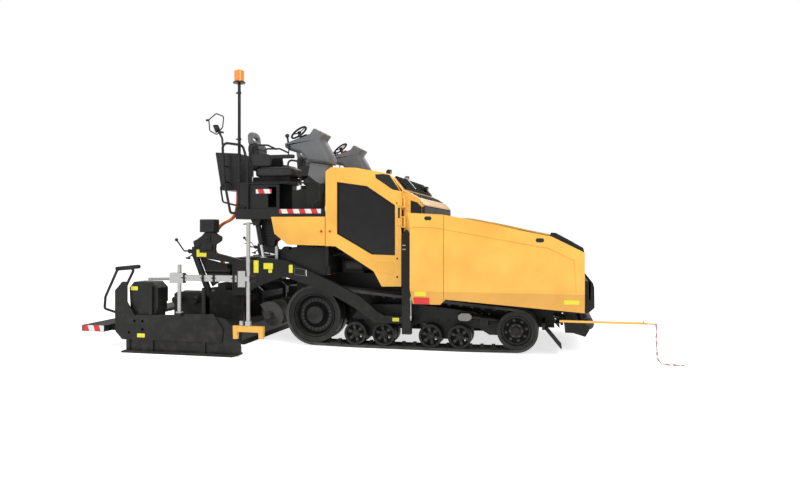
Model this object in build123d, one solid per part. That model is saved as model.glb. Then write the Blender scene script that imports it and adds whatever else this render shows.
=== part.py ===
"""Tracked asphalt paver, in millimetres: +X forward, +Y to the machine's left, +Z up.
The origin is on the ground, half-way between the guide rod's tip and the walkway's rear edge."""
from math import acos, atan2, cos, degrees, hypot, pi, radians, sin
import os

from build123d import *

# ---- driving dimensions ------------------------------------------------------------------
gap = 5.0                 # between pieces that move past each other
seat = 0.3                # between a piece and what carries it
door_hinge_zs = (1690.0, 1960.0)
deck_half = 1244.7
half_body = 1275.0        # half of the transport width
deck_top = 1825.0         # the operator's floor

track_centre = 950.0      # middle of each belt, from the machine's middle
belt_width = 400.0
belt_thick = 36.0
wheel_gap = 90.0          # groove between twin discs, where the guide lugs run
lug_height, lug_width, lug_length, lug_pitch = 44.0, 56.0, 62.0, 155.0
drive_x, drive_z, drive_r = -743.0, 433.0, 384.0
idler_x, idler_z, idler_r = 2065.0, 304.0, 254.0
road_xs = (-145.0, 261.0, 914.0, 1313.0)
road_r = 160.0
axle_r = 34.0

frame_half = 705.0        # outside of the chassis side plates
frame_wall = 22.0
frame_rear, frame_front = -1180.0, 2560.0
floor_z = 620.0           # conveyor floor
slat_pitch = 264.0
tunnel_top = 1010.0
wall_x = 1140.0           # front face of the wall between hopper and engine
wall_top = 1790.0

lashing_x, lashing_z, lashing_r = 2760.0, 575.0, 22.0

wing_hinge_y, wing_hinge_z = 728.0, 800.0
wing_outer, wing_pin = 1645.0, 16.0
ear_xs = (1240.0, 2040.0, 2840.0)
wing_skin = 60.0
wing_rear, wing_front = 735.0, 2916.0

hood_half = 1200.0
hood_foot = 1600.0        # lower edge of the hood's sides, above the tow posts
door_skin = 44.0
door_front = 540.0
door_hinge_x, door_hinge_y = 549.0, 1282.0
shell_front = 600.0
lid_back, hood_front = 565.0, 843.0
shelf_top = 1800.0        # flat top between the hood and the hopper's wall

tow_x, tow_z = 575.0, 410.0
arm_inner, arm_outer = 1160.0, 1236.0

auger_x, auger_z, auger_r, auger_shaft_r = -1440.0, 420.0, 185.0, 46.0
auger_inner, auger_outer, flight_pitch, flight_thick = 120.0, 1225.0, 300.0, 16.0
auger_end = 55.0          # bare shaft that an auger extension slides on
auger_sides = 16          # flat steps of the flight to each turn

screed_front, screed_rear = -1790.0, -2370.0
screed_half = 1270.0
slide_out = 800.0         # how far each extension stands out
slide_xs = (-2560.0, -2860.0)
slide_z, slide_r, slide_half = 610.0, 50.0, 1265.0
carriage_length = 250.0
gate_inner, gate_outer = 2095.0, 2190.0
half_length = 3765.0      # walkway edge and guide rod tip

lift_top = (-1620.0, 1745.0)
lift_eye = (-1520.0, 1205.0)
lift_y, lift_pin = 1116.0, 13.0
roller_x, roller_z, roller_r = 2990.0, 388.0, 85.0
pivot_x, pivot_r = 2625.0, 28.0
apron_x, apron_z, apron_pin = 2922.0, 592.0, 12.0

# ---- helpers -----------------------------------------------------------------------------


def block(x0, x1, y0, y1, z0, z1):
    return Pos((x0 + x1) / 2, (y0 + y1) / 2, (z0 + z1) / 2) * Box(abs(x1 - x0), abs(y1 - y0), abs(z1 - z0))


def side_face(points, y):
    """A flat outline of (x, z) points that lies at height y along the Y axis."""
    return Plane((0, y, 0), x_dir=(1, 0, 0), z_dir=(0, -1, 0)) * make_face(Polyline(*points, close=True))


def side_plate(points, y0, y1, corner=0):
    face = side_face(points, y1)
    if corner:
        face = fillet(face.vertices(), corner)
    return extrude(face, y1 - y0, dir=(0, -1, 0))


def cross_plate(points, x0, x1):
    """An outline of (y, z) points, extruded from x0 to x1."""
    face = Plane((x0, 0, 0), x_dir=(0, 1, 0), z_dir=(1, 0, 0)) * make_face(Polyline(*points, close=True))
    return extrude(face, x1 - x0, dir=(1, 0, 0))


def rod_y(x, z, r, y0, y1):
    return Pos(x, (y0 + y1) / 2, z) * Rot(90, 0, 0) * Cylinder(r, abs(y1 - y0))


def rod(start, end, r):
    """A round bar between two points."""
    a, b = Vector(*start), Vector(*end)
    return extrude(Plane(a, z_dir=b - a) * Circle(r), (b - a).length)


def tube(points, r, bends, sides=6):
    """A bent tube through points, with one bend radius or one for each corner."""
    path = FilletPolyline(*points, radius=bends)
    start = Plane(path @ 0, z_dir=path % 0)
    return sweep(start * RegularPolygon(r, sides), path=path)


def hex_y(x, z, r, y0, y1):
    """A six-sided axle along Y; r is half its width across corners."""
    face = Plane((x, y0, z), x_dir=(1, 0, 0), z_dir=(0, -1, 0)) * RegularPolygon(r, 6)
    return extrude(face, y1 - y0, dir=(0, 1, 0))


def turned(profile, x, z):
    """A piece turned about the Y axis at (x, z), from (radius, y) points."""
    face = Pos(x, 0, z) * make_face(Polyline(*profile, close=True))
    return revolve(face, Axis((x, 0, z), (0, 1, 0)))


def right(piece):
    return mirror(piece, about=Plane.XZ)


def pair(piece):
    return [piece, right(piece)]


# ---- undercarriage -----------------------------------------------------------------------


def belt_path(grow):
    """The closed line round drive wheel, road wheels and idler, grown outward."""
    circles = [
        (drive_x, drive_z, drive_r + grow),
        (road_xs[0], road_r + belt_thick, road_r + grow),
        (road_xs[-1], road_r + belt_thick, road_r + grow),
        (idler_x, idler_z, idler_r + grow),
    ]
    normals = []
    for i, (x1, z1, r1) in enumerate(circles):
        x2, z2, r2 = circles[(i + 1) % len(circles)]
        along = atan2(z2 - z1, x2 - x1)
        normals.append(along - acos((r1 - r2) / hypot(x2 - x1, z2 - z1)))
    edges = []
    for i, (x, z, r) in enumerate(circles):
        turn_in, turn_out = normals[i - 1], normals[i]
        sweep_angle = degrees(turn_out - turn_in) % 360
        edges.append(CenterArc((x, z), r, degrees(turn_in), sweep_angle))
        x2, z2, r2 = circles[(i + 1) % len(circles)]
        leave = (x + r * cos(turn_out), z + r * sin(turn_out))
        meet = (x2 + r2 * cos(turn_out), z2 + r2 * sin(turn_out))
        edges.append(Line(leave, meet))
    return Wire(edges)


def belt():
    half = belt_width / 2
    upright = Plane((0, track_centre + half, 0), x_dir=(1, 0, 0), z_dir=(0, -1, 0))
    outer = extrude(upright * make_face(belt_path(belt_thick)), belt_width, dir=(0, -1, 0))
    inner = extrude(upright * make_face(belt_path(0)), belt_width, dir=(0, -1, 0))
    band = outer - inner
    line = belt_path(0)
    count = round(line.length / lug_pitch)
    lugs = []
    for i in range(count):
        place = line @ (i / count)
        ahead = line % (i / count)
        angle = degrees(atan2(ahead.Y, ahead.X))
        lug = side_plate(
            [(-lug_length / 2, -3), (lug_length / 2, -3), (lug_length / 3, lug_height),
             (-lug_length / 3, lug_height)],
            -lug_width / 2, lug_width / 2)
        lugs.append(Pos(place.X, track_centre, place.Y) * Rot(0, -angle, 0) * lug)
    return band + lugs


def twin_wheel(x, z, r, dish, hub_r, reach=None):
    """Two discs on one axle, the outer one dished; the guide lugs run in the groove."""
    outer, inner = track_centre + belt_width / 2 - 12, track_centre - belt_width / 2 + 12
    low, high = track_centre - wheel_gap / 2, track_centre + wheel_gap / 2
    rim = r * 0.2
    wheel = turned([(0, inner), (r - seat, inner), (r - seat, low), (0, low)], x, z)
    wheel += turned([(0, high), (r - seat, high), (r - seat, outer), (r - rim, outer),
                     (r - rim, outer - dish),
                     (hub_r, outer - dish), (hub_r, outer - dish + 34), (0, outer - dish + 34)], x, z)
    wheel += hex_y(x, z, axle_r, low, high)
    if reach is not None:
        wheel += hex_y(x, z, axle_r * 1.6, reach, inner)
    return wheel


def track_frame():
    """The beam between the twin discs, the bogie beams under it and the two cross tubes."""
    half = wheel_gap / 2 - 10
    y0, y1 = track_centre - half, track_centre + half
    beam = side_plate(
        [(-240, 400), (-60, 590), (760, 600), (1500, 520), (1830, 392), (idler_x, 392),
         (idler_x + 80, idler_z), (idler_x, 216), (1700, 216), (1560, 300), (830, 360), (700, 330),
         (480, 330), (350, 370), (-150, 370)], y0, y1)
    for first, last in (road_xs[:2], road_xs[2:]):
        middle = (first + last) / 2
        bogie = side_plate(
            [(first - 55, road_r - 20), (last + 55, road_r - 20), (last + 55, 240), (middle + 60, 400),
             (middle - 60, 400), (first - 55, 240)], y0, y1)
        beam += bogie
    for x in road_xs:
        beam -= hex_y(x, road_r + belt_thick, axle_r + seat, y0 - 1, y1 + 1)
    beam -= hex_y(idler_x, idler_z, axle_r + seat, y0 - 1, y1 + 1)
    for x in (588, 1640):
        beam += block(x - 56, x + 56, frame_half, y0, 344, 456)
        beam += block(x - 56, x + 56, y1, track_centre + belt_width / 2 - 60, 344, 456)
    tensioner = block(1300, 1400, y1, y1 + 90, 420, 505)
    tensioner += rod((1390, y1 + 50, 460), (1830, y1 + 50, 425), 30)
    return beam + tensioner


belts = pair(belt())
drive_wheels = pair(twin_wheel(drive_x, drive_z, drive_r, 92, 120, frame_half + seat))
idler_wheels = pair(twin_wheel(idler_x, idler_z, idler_r, 50, 96))
road_wheels = [w for x in road_xs for w in pair(twin_wheel(x, road_r + belt_thick, road_r, 52, 50))]
track_frames = pair(track_frame())

# ---- chassis -----------------------------------------------------------------------------

side_outline = [
    (frame_rear, 330), (frame_rear, 1420), (-560, 1420), (-560, tunnel_top), (wall_x, tunnel_top),
    (wall_x, 770), (frame_front, 770), (2900, 720), (2900, 640), (2934, 606), (2934, 578), (2860, 560),
    (frame_front, 480), (frame_front, 300),
    (-300, 300),
]


def chassis():
    inner = frame_half - frame_wall
    body = side_plate(side_outline, inner, frame_half)
    body -= rod_y(lashing_x, lashing_z, lashing_r, inner - 1, frame_half + 1)
    body += right(body)
    body += block(frame_rear, 2860, -inner, inner, floor_z - 14, floor_z)            # conveyor floor
    body += block(-300, frame_front, -inner, inner, 300, 318)                        # belly plate
    body += block(frame_rear, wall_x, -inner, inner, tunnel_top - 16, tunnel_top)    # tunnel roof
    body += block(frame_rear, 2860, -26, 26, floor_z, 700)                           # chain case
    body += block(frame_rear, wall_x, -26, 26, 700, tunnel_top - 16)
    body += block(wall_x - 20, wall_x, -frame_half, frame_half, tunnel_top, wall_top)  # hopper wall
    body += block(frame_front - 60, frame_front, -inner, inner, 318, floor_z - 14)   # front cross member
    body += block(-300, -260, -inner, inner, 318, floor_z - 14)
    body += block(1140, 1180, -inner, inner, 318, floor_z - 14)
    body += block(-600, -560, -inner, inner, tunnel_top, 1420)
    body += block(frame_rear, frame_rear + 40, -inner, inner, tunnel_top, 1420)
    for x in (frame_rear, -610):                                                     # deck legs
        for y in (-frame_half, inner):
            body += block(x, x + 50, y, y + frame_wall, 1420, deck_top - 35)
    for side in (-1, 1):  # bulkheads behind the wings
        body += block(wall_x - 20, wall_x, side * frame_half, side * (wing_outer - wing_skin - seat), 880,
                      wall_top)
    for side in (-1, 1):  # beams to the tow posts
        body += block(560, 636, side * frame_half, side * 1155, 880, 960)
    cheek = arm_outer + 8
    post = side_plate([(652, 225), (652, 1585), (668, 1570), (668, 225)], 1155, cheek)
    post += side_plate([(546, 225), (546, 1583), (607, 1648), (668, 1583), (668, 225)], cheek, cheek + 14)
    post += block(560, 652, 1155, cheek, 880, 960)
    post += rod_y(tow_x, tow_z, 30, arm_inner, cheek)
    body += post
    body += right(post)
    body += rod_y(apron_x, apron_z, apron_pin, -frame_half, frame_half)
    for low in (276, 404):
        body += block(frame_front - 10, pivot_x + 45, -90, 90, low, low + 20)
    body += Pos(pivot_x, 0, 350) * Cylinder(pivot_r, 120)
    for x in ear_xs:                                                                 # wing hinge ears
        ear = block(x, x + 40, frame_half - 4, wing_hinge_y + 22, 700, wing_hinge_z + 22)
        ear -= rod((x - 1, wing_hinge_y, wing_hinge_z), (x + 41, wing_hinge_y, wing_hinge_z),
                   wing_pin + seat)
        body += ear
        body += right(ear)
    return body


def conveyor(side):
    """Two chains and their slats on the conveyor floor, round a drum at the front."""
    low, high = 40, frame_half - frame_wall - gap
    drum_x, drum_z = 2868, 664
    ladder = rod_y(drum_x, drum_z, 38, low, high)
    for y in (low + 10, high - 50):
        ladder += block(frame_rear, drum_x, y, y + 40, floor_z + seat, floor_z + 16)
    x = frame_rear
    while x < 2780:
        ladder += block(x, x + 34, low, high, floor_z + 16, floor_z + 34)
        x += slat_pitch
    return ladder if side > 0 else right(ladder)


main_frame = chassis()
conveyors = [conveyor(1), conveyor(-1)]
engine_block = block(-300, 800, -360, 360, tunnel_top + seat, shelf_top - 25)
tank = side_plate([(-1150, 1000), (-562, 1000), (-562, 1395), (-1060, 1395), (-1150, 1300)],
                  frame_half + seat, 1150, 30)
side_tanks = pair(tank)

# ---- yellow body -------------------------------------------------------------------------

roof_line = [(-536, 2457), (-461, 2505), (-103, 2492), (196, 2434), (383, 2397), (lid_back - gap, 2180)]
hood_line = [(lid_back, 2176), (650, 2140), (760, 2075), (hood_front, 1985)]
sheet = 24                # roof and hood sheet with its stiffeners
pane = [(655, 2040), (750, 2010), (811, 1950), (811, 1850), (655, 1860)]


def lowered(line, drop):
    """The same line under the sheet, in reverse, to close an outline."""
    return [(x, z - drop) for x, z in reversed(line)]


def body_shell():
    inside = half_body - 5 - door_skin - gap
    shell = side_plate(roof_line + lowered(roof_line, sheet), -inside, inside)
    shell += block(-536, -512, -inside, inside, deck_top + 10, 2440)
    shell += block(-556, -512, -inside, inside, tunnel_top + seat, deck_top + 10)
    for side in (-1, 1):  # clears the raised tow arms
        shell -= block(-560, -508, side * (arm_inner - 10), side * 1300, 1000, 1130)
    top = [(lid_back - gap, 2150)] + [(x, z - sheet - seat) for x, z in hood_line[1:-1]]
    inner_front = hood_front - 8 - gap
    flank = side_plate(top + [(inner_front, 1968), (inner_front, shelf_top), (wall_x - 24, shelf_top),
                              (wall_x - 24, hood_foot), (lid_back - gap, hood_foot)],
                       hood_half - 22, hood_half)
    flank -= side_plate(pane, hood_half - 8, hood_half + 1)
    shell += flank + right(flank)
    shell += block(1092, 1116, -hood_half, hood_half, tunnel_top + seat, shelf_top)
    shell += block(inner_front - 24, 1116, -hood_half, hood_half, shelf_top - 20, shelf_top)
    shell += block(inner_front - 24, inner_front, -hood_half, hood_half, shelf_top, 1940)
    for z in door_hinge_zs:
        hinge = rod((door_hinge_x, door_hinge_y, z - 20), (door_hinge_x, door_hinge_y, z + 130), 6)
        for low in (z - 20, z + 116):
            hinge += block(door_hinge_x - 9, shell_front, 1262, door_hinge_y + 9, low, low + 14)
        hinge += block(shell_front - 24, shell_front, hood_half - 10, door_hinge_y + 9, z - 20, z + 130)
        shell += hinge + right(hinge)
    shell += block(lid_back - gap - 24, lid_back - gap, -inside, inside, tunnel_top + seat + 900, 2170)
    return shell


def hood_lid():
    """The sloping lid, with a raised lip round the air intake."""
    foot = shelf_top + gap
    outline = hood_line + [(hood_front, foot), (hood_front - 8, foot), (hood_front - 8, 1975)]
    lid = side_plate(outline + lowered(hood_line[:-1], sheet), -hood_half, hood_half)
    intake = side_plate([(585, 2200), (590, 2156), (650, 2131), (745, 2075), (790, 2120)], -1040, 1040)
    return lid - intake


rear_panel = side_plate([(-1345, 1822), (-545, 1822), (-545, 1418), (-1095, 1430), (-1296, 1585)],
                        half_body - 30, half_body - 5)
rear_panels = pair(rear_panel)


def side_door():
    y0, y1 = half_body - 5 - door_skin, half_body - 5
    outline = [(-536, 2450), (-461, 2505), (-103, 2492), (196, 2434), (383, 2397), (door_front, 2150),
               (door_front, 2049),
               (door_front, 873), (268, 867), (155, 1074), (-392, 1410), (-536, 1417)]
    door = side_plate(outline, y0, y1)
    window = [(-370, 2301), (61, 2237), (455, 1972), (455, 1293), (128, 1301), (-370, 1582)]
    door -= side_plate(window, y0 - 1, y1 + 1)
    grille = side_plate(window, y0 + 6, y0 + 14)
    for z in door_hinge_zs:
        door += rod((door_hinge_x, door_hinge_y, z), (door_hinge_x, door_hinge_y, z + 110), 11)
        door += block(490, door_hinge_x - 3, y1, y1 + 8, z + 5, z + 105)
        door -= rod((door_hinge_x, door_hinge_y, z - 1), (door_hinge_x, door_hinge_y, z + 111), 6 + seat)
    return door + grille


shell = body_shell()
lid = hood_lid()
doors = pair(side_door())

# ---- operator's platform -----------------------------------------------------------------

deck_rear, deck_front = -1900.0, -560.0


def deck():
    floor = block(deck_rear, deck_front, -deck_half, deck_half, deck_top - 35, deck_top)
    for y in (-deck_half, deck_half - 30):
        floor += block(-1290, deck_front, y, y + 30, 1500, deck_top - 35)
        floor += block(deck_rear, deck_front, y, y + 30, deck_top, deck_top + 110)
    floor += block(deck_rear, deck_rear + 30, -deck_half, deck_half, deck_top, deck_top + 110)
    for side in (-1, 1):
        for offset in (lift_y - 60, lift_y + 46):
            ear = side_plate([(-1700, 1790), (-1540, 1790), (-1580, 1700), (-1660, 1700)],
                             offset, offset + 14)
            floor += ear if side > 0 else right(ear)
        pin = rod_y(lift_top[0], lift_top[1], lift_pin, lift_y - 50, lift_y + 50)
        floor += pin if side > 0 else right(pin)
    return floor


def station():
    """The raised box under each seat, its guard rail and the slanting console leg."""
    foot = deck_top + seat
    box_wall = side_plate([(-1860, foot), (-1250, foot), (-1250, 2290), (-1860, 2290)], 1190, 1210)
    box_wall -= side_plate([(-1420, 1960), (-1290, 1960), (-1290, 2250), (-1420, 2250)], 1189, 1211)
    plinth = box_wall + block(-1860, -1250, 700, 720, foot, 2290)
    plinth += block(-1860, -1150, 700, 1210, 2290, 2320)
    plinth += block(-1860, -1840, 720, 1190, foot, 2290)
    leg = side_plate([(-820, 2607.4), (-560, 2570.1), (-640, 2200), (-700, foot), (-880, foot),
                      (-890, 2300)],
                     880, 1080)
    y = 1223.3
    top = deck_top + 110 + seat
    rail = tube([(-1722 + 18 + seat, y, 2300), (-640, y, 2300), (-640, y, 2060), (-742, y, 1995),
                 (-742, y, top)], 13,
                [60, 30, 15])
    return plinth, leg, rail


def seat_shape():
    base = 2320 + seat
    cushion = side_plate([(-1735, base), (-1087, base), (-1075, 2430), (-1480, 2450), (-1735, 2450)], 700,
                         1200, 12)
    back = side_plate([(-1735, 2450 + seat), (-1600, 2450 + seat), (-1560, 2640), (-1625, 2920),
                       (-1700, 3080), (-1790, 3086),
                       (-1850, 2990), (-1860, 2600)], 740, 1160, 20)
    return cushion, back


console_outline = [(-1208, 2873), (-821, 3004), (-763, 3082), (-588, 2991), (-651, 2908), (-599, 2826),
                   (-504, 2644), (-515, 2564), (-842, 2611), (-971, 2745), (-1121, 2770), (-1197, 2822)]


wheel_place = Pos(-1040, 980, 3045) * Rot(0, -38, 0)


def steering_wheel():
    rim = RegularPolygon(138, 20) - RegularPolygon(114, 20)
    wheel = Pos(0, 0, -13) * extrude(rim, 24) + Pos(0, 0, -20) * Cylinder(26, 40)
    for i in range(3):
        wheel += Rot(0, 0, 120 * i) * block(18, 122, -11, 11, -9, -1)
    return wheel_place * wheel


def rear_rails():
    """Tube hoops behind the seats, with the slanted locker they carry."""
    y = 1229
    post = deck_rear - seat
    hoop = tube([(post, y, 1880), (-1990, y, 1880), (-2078, y, 2300), (-2118, y, 2900), (-1800, y, 2852),
                 (-1722, y, 2600), (-1722, y, deck_top + 110 + seat)], 18, [40, 90, 70, 90, 60])
    hoop += hex_y(-2095, 2560, 11, 1130 + seat, y) + hex_y(-2080, 2330, 11, 1130 + seat, y)
    low = tube([(-1760, y, 1955), (-2110, y, 2040), (-2145, y, 2250), (-2080, y, 2345)], 13, 40)
    return hoop + low


def locker():
    return side_plate([(-2280, 2772), (-1905, 2748), (-1905, 2212), (-2185, 2214)], 690, 1130, 12)


station_parts = station()
seat_parts = seat_shape()
console = side_plate(console_outline, 790, 1170, 14)
console += wheel_place * Pos(0, 0, -40 - seat - 55) * Cylinder(32, 110)
wheel_turn = steering_wheel()
rail_parts = rear_rails()
locker_body = locker()

# ---- beacon, mirror ----------------------------------------------------------------------

mast_x, mast_y = -1886.0, -1160.0
mast_foot, mast_top = deck_top + 110 + seat, 3770.0
beacon_mast = Pos(mast_x, mast_y, (mast_foot + mast_top) / 2) * Cylinder(22, mast_top - mast_foot)
beacon_mast += Pos(mast_x, mast_y, mast_top - 6) * Cylinder(88, 12)
lens = Plane((mast_x, mast_y, mast_top + seat)) * RegularPolygon(72, 20)
beacon = extrude(lens, 180)
beacon = chamfer(beacon.edges().group_by(Axis.Z)[-1], 14)

# ---- front: guide bar, flaps, push rollers, apron ------------------------------------------

bar_y, bar_z = -1520.0, 503.0


def guide_bar():
    bar = block(2618, 3652, bar_y - 15, bar_y + 15, bar_z - 13, bar_z + 13)
    bar += rod((3640, bar_y, bar_z), (half_length, bar_y, bar_z), 6)
    return bar


guide_rail = guide_bar()
guide_bracket = rod_y(2645, bar_z - 13 - 19 - seat, 19, -890, bar_y - 10)
guide_bracket += block(frame_front + seat, 2645, -890, -frame_half, 452, 489)


def flap():
    outline = [(2440, 330), (2452, 338), (2652, 98), (2640, 90)]
    return side_plate(outline, track_centre - belt_width / 2, track_centre + belt_width / 2)


flap_beam = block(2400, 2440, frame_half, track_centre + belt_width / 2, 330, 420)
flaps = pair(flap())
flap_beams = pair(flap_beam)


def push_bar():
    bar = block(2700, 2860, -880, 880, 262, 436)
    for y in (-880, 20, -50, 850):
        bar += side_plate([(2800, 262), (2960, 215), (3010, 300), (3010, 440), (2800, 440)], y, y + 30)
    bar -= rod_y(roller_x, roller_z, 22 + seat, -900, 900)
    bar += block(pivot_x - 40, 2700, -70, 70, 300, 400)
    bar -= Pos(pivot_x, 0, 350) * Cylinder(pivot_r + seat, 120)
    return bar


push_roller = rod_y(roller_x, roller_z, roller_r, 56, 844) + rod_y(roller_x, roller_z, 22, 22, 878)


def apron():
    panel = side_plate([(2938, 987), (2985, 975), (2990, 745), (3008, 720), (3014, 988), (3038, 960),
                        (3056, 900),
                        (3060, 640), (2990, 575), (2950, 575), (2938, 600)], -1190, 1190)
    for side in (-1, 1):
        panel -= block(2930, 2990, side * 668, side * 720, 570, 660)
    for y in (-560, -20, 520):
        panel += block(2906, 2950, y, y + 40, 578, 606)
    return panel - rod_y(apron_x, apron_z, apron_pin + seat, -640, 640)


# ---- hopper wings --------------------------------------------------------------------------

split = wall_x + 35       # between the fixed rear covers and the folding panels
panel_outline = [(split + gap, 1831), (1760, 1721), (2142, 1633), (2524, 1556), (wing_front, 1360),
                 (wing_front, 617),
                 (1199, 748), (split + gap, 728)]
cover_outline = [(wing_rear, 1714), (wing_rear - 35, 1859), (1154, 1835), (split, 1831), (split, 725),
                 (1127, 678),
                 (770, 680), (wing_rear, 882)]


def yellow_skin(outline, emboss, handle):
    """A pressed panel: shallow field, slot for a hand, lower edge cut back."""
    inner = wing_outer - wing_skin
    panel = side_plate(outline, inner, wing_outer)
    panel -= cross_plate([(wing_outer + 1, 850), (wing_outer + 1, 560), (wing_outer - 56, 560)], 600, 3000)
    panel -= side_plate(emboss, wing_outer - 7, wing_outer + 1)
    x, z = handle
    return panel - block(x - 30, x + 30, inner - 1, wing_outer + 1, z - 17, z + 17)


panel_left = yellow_skin(
    panel_outline,
    [(split, 1647), (1795, 1536), (2313, 1442), (2482, 1417), (2792, 1265), (2817, 870), (split, 870)],
    (2381, 1512))
cover_left = yellow_skin(
    cover_outline, [(wing_rear - 10, 1669), (1045, 1669), (split + 1, 1647), (split + 1, 870),
                    (wing_rear - 10, 870)],
    (976, 1786))


def wing():
    """The folding half of the hopper: slanting floor, outer wall and rear wall."""
    inner = wing_outer - wing_skin - seat
    floor = cross_plate([(wing_hinge_y + 6, 808), (inner, 898), (inner, 886), (wing_hinge_y + 6, 796)],
                        1190, wing_front - 16)
    wall = side_plate([(1190, 860), (1190, 1800), (1760, 1690), (2500, 1535), (2520, 1590), (2600, 1584),
                       (2900, 1420),
                       (2916, 1360), (2895, 1345), (2895, 860)], inner - 14, inner)
    back = cross_plate([(wing_hinge_y + 6, 800), (wing_hinge_y + 6, 1420), (inner, 1780), (inner, 860)],
                       1176, 1190)
    for x in ear_xs:
        floor -= block(x - gap, x + 40 + gap, 700, wing_hinge_y + 42, 700, 900)
    knuckle = rod((1190, wing_hinge_y, wing_hinge_z), (wing_front - 16, wing_hinge_y, wing_hinge_z),
                  wing_pin)
    ribs = [cross_plate([(760, 795), (inner, 885), (inner, 760)], x, x + 14) for x in (1420, 2000, 2600)]
    return floor + wall + back + knuckle + ribs


wing_left = wing()

# ---- augers --------------------------------------------------------------------------------


def flight(length):
    """A right-handed helical blade in flat steps."""
    steps = round(length / flight_pitch * auger_sides)
    rings = []
    for i in range(steps + 1):
        turn, z = 2 * pi * i / auger_sides, length * i / steps
        rings.append([Vector(r * cos(turn), r * sin(turn), z + up) for r, up in (
            (auger_shaft_r - 8, -flight_thick / 2), (auger_r, -flight_thick / 2),
            (auger_r, flight_thick / 2), (auger_shaft_r - 8, flight_thick / 2))])
    faces = [Face(Wire.make_polygon(rings[0])), Face(Wire.make_polygon(rings[-1]))]
    for one, two in zip(rings, rings[1:]):
        for k in range(4):
            n = (k + 1) % 4
            faces.append(Face(Wire.make_polygon([one[k], one[n], two[n]])))
            faces.append(Face(Wire.make_polygon([one[k], two[n], two[k]])))
    return Solid(Shell(faces))


def auger():
    """A shaft with its flight, and a bare end."""
    length = auger_outer - auger_inner
    shaft = extrude(RegularPolygon(auger_shaft_r, auger_sides), length - auger_end)
    shaft += Pos(0, 0, length - auger_end / 2) * Cylinder(auger_shaft_r - 6, auger_end)
    return shaft + Pos(0, 0, 30) * flight(length - 40 - auger_end)


def place_auger(piece):
    return Pos(auger_x, auger_inner, auger_z) * Rot(-90, 0, 0) * piece


auger_left = place_auger(auger())
end_y = auger_inner - seat
gearbox = block(auger_x - 110, auger_x + 110, -end_y, end_y, auger_z - 130, auger_z + 330)
gearbox += block(auger_x - 60, frame_rear - seat, -24, 24, auger_z + 130, auger_z + 330)

# ---- tow arms and screed -------------------------------------------------------------------


def tow_arm():
    outline = [(tow_x + 45, 366), (tow_x + 45, 454), (290, 466), (189, 524), (-39, 714), (-477, 927),
               (-1017, 1156),
               (-1116, 1202), (-1480, 1240), (-1560, 1240), (-1620, 1202), (-1830, 1210), (-1960, 1150),
               (-1960, 700), (-1790, 700), (-1640, 800),
               (-1280, 940), (-1164, 978), (-765, 854), (-373, 694), (-128, 565), (88, 424), (164, 365)]
    arm = side_plate(outline, arm_inner, arm_outer)
    arm -= rod_y(tow_x, tow_z, 30 + seat, arm_inner - 1, arm_outer + 1)
    arm += rod_y(*lift_eye, lift_pin, lift_y - 20, arm_inner)
    return arm


def screed():
    nose = [(screed_front, 60), (screed_front + 40, 0), (screed_rear, 0), (screed_rear, 330),
            (screed_front - 60, 330),
            (screed_front, 250)]
    body = side_plate(nose, -screed_half, screed_half)
    for y in (-1150, -500, 440, 1090):
        body += side_plate([(-1830, 330), (-2360, 330), (-2360, 720), (-2240, 760), (-1900, 760),
                            (-1830, 700)], y, y + 60)
    for x in (-1900, -2280):
        body += block(x - 45, x + 45, -1150, 1150, 575, 665)
    for side in (-1, 1):
        link = block(-1950, -1880, side * 1150, side * (arm_inner - seat), 560, 740)
        body += link
    for side in (-1, 1):
        body += block(-2230, -2110, side * 930, side * 1150, 760 - 5, 860)
    centre = side_plate([(-2360, 560), (-2930, 540), (-2930, 690), (-2360, 740)], -48, 48)
    body += centre + block(-2360, -2300, -440, 440, 560, 740)
    for x in slide_xs:
        body += rod_y(x, slide_z, slide_r, -slide_half, slide_half)
    body += side_plate([(-2930, 690), (-2930, 560), (-3200, 360), (-3270 + seat, 360), (-3270 + seat, 420),
                        (-3190, 440)], -48, 48)
    return body


def main_walkway():
    return block(-3700, -3270, -840, 840, 375, 420)


def extension():
    """The part of the screed that slides out on the two tubes."""
    inner, outer = 80 + slide_out, gate_inner - seat
    body = side_plate([(-2420, 0), (-2420, 250), (-2480, 330), (-2940, 330), (-3010, 260), (-3010, 30),
                       (-2980, 0)],
                      inner, outer)
    cheek = [(-2470, 331), (-2470, 690), (-2520, 720), (-2900, 720), (-2950, 690), (-2950, 331)]
    far = inner + carriage_length
    carriage = side_plate(cheek, inner, inner + 60) + side_plate(cheek, far - 60, far)
    housing = side_plate([(-3010, 520), (-2930, 500), (-2640, 520), (-2600, 620), (-2600, 860),
                          (-2680, 940),
                          (-2960, 940), (-3030, 860)], outer - 240, outer)
    for x in slide_xs:
        carriage -= rod_y(x, slide_z, slide_r + seat, inner - 1, far + 1)
        housing -= block(x - slide_r - gap, x + slide_r + gap, outer - 241, outer - 20,
                         slide_z - slide_r - gap,
                         slide_z + slide_r + gap)
    body += block(-2950, -2470, inner, far, 325, 345) + carriage + housing
    body += block(-2980, -2640, outer - 240, outer, 330, 520)
    body += block(-3420, -3008, inner + 300, inner + 340, 250, 300) + block(-3420, -3008, outer - 200,
                                                                            outer - 160, 250, 300)
    body += block(-half_length, -3420, inner, outer, 250, 336)
    return body


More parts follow.
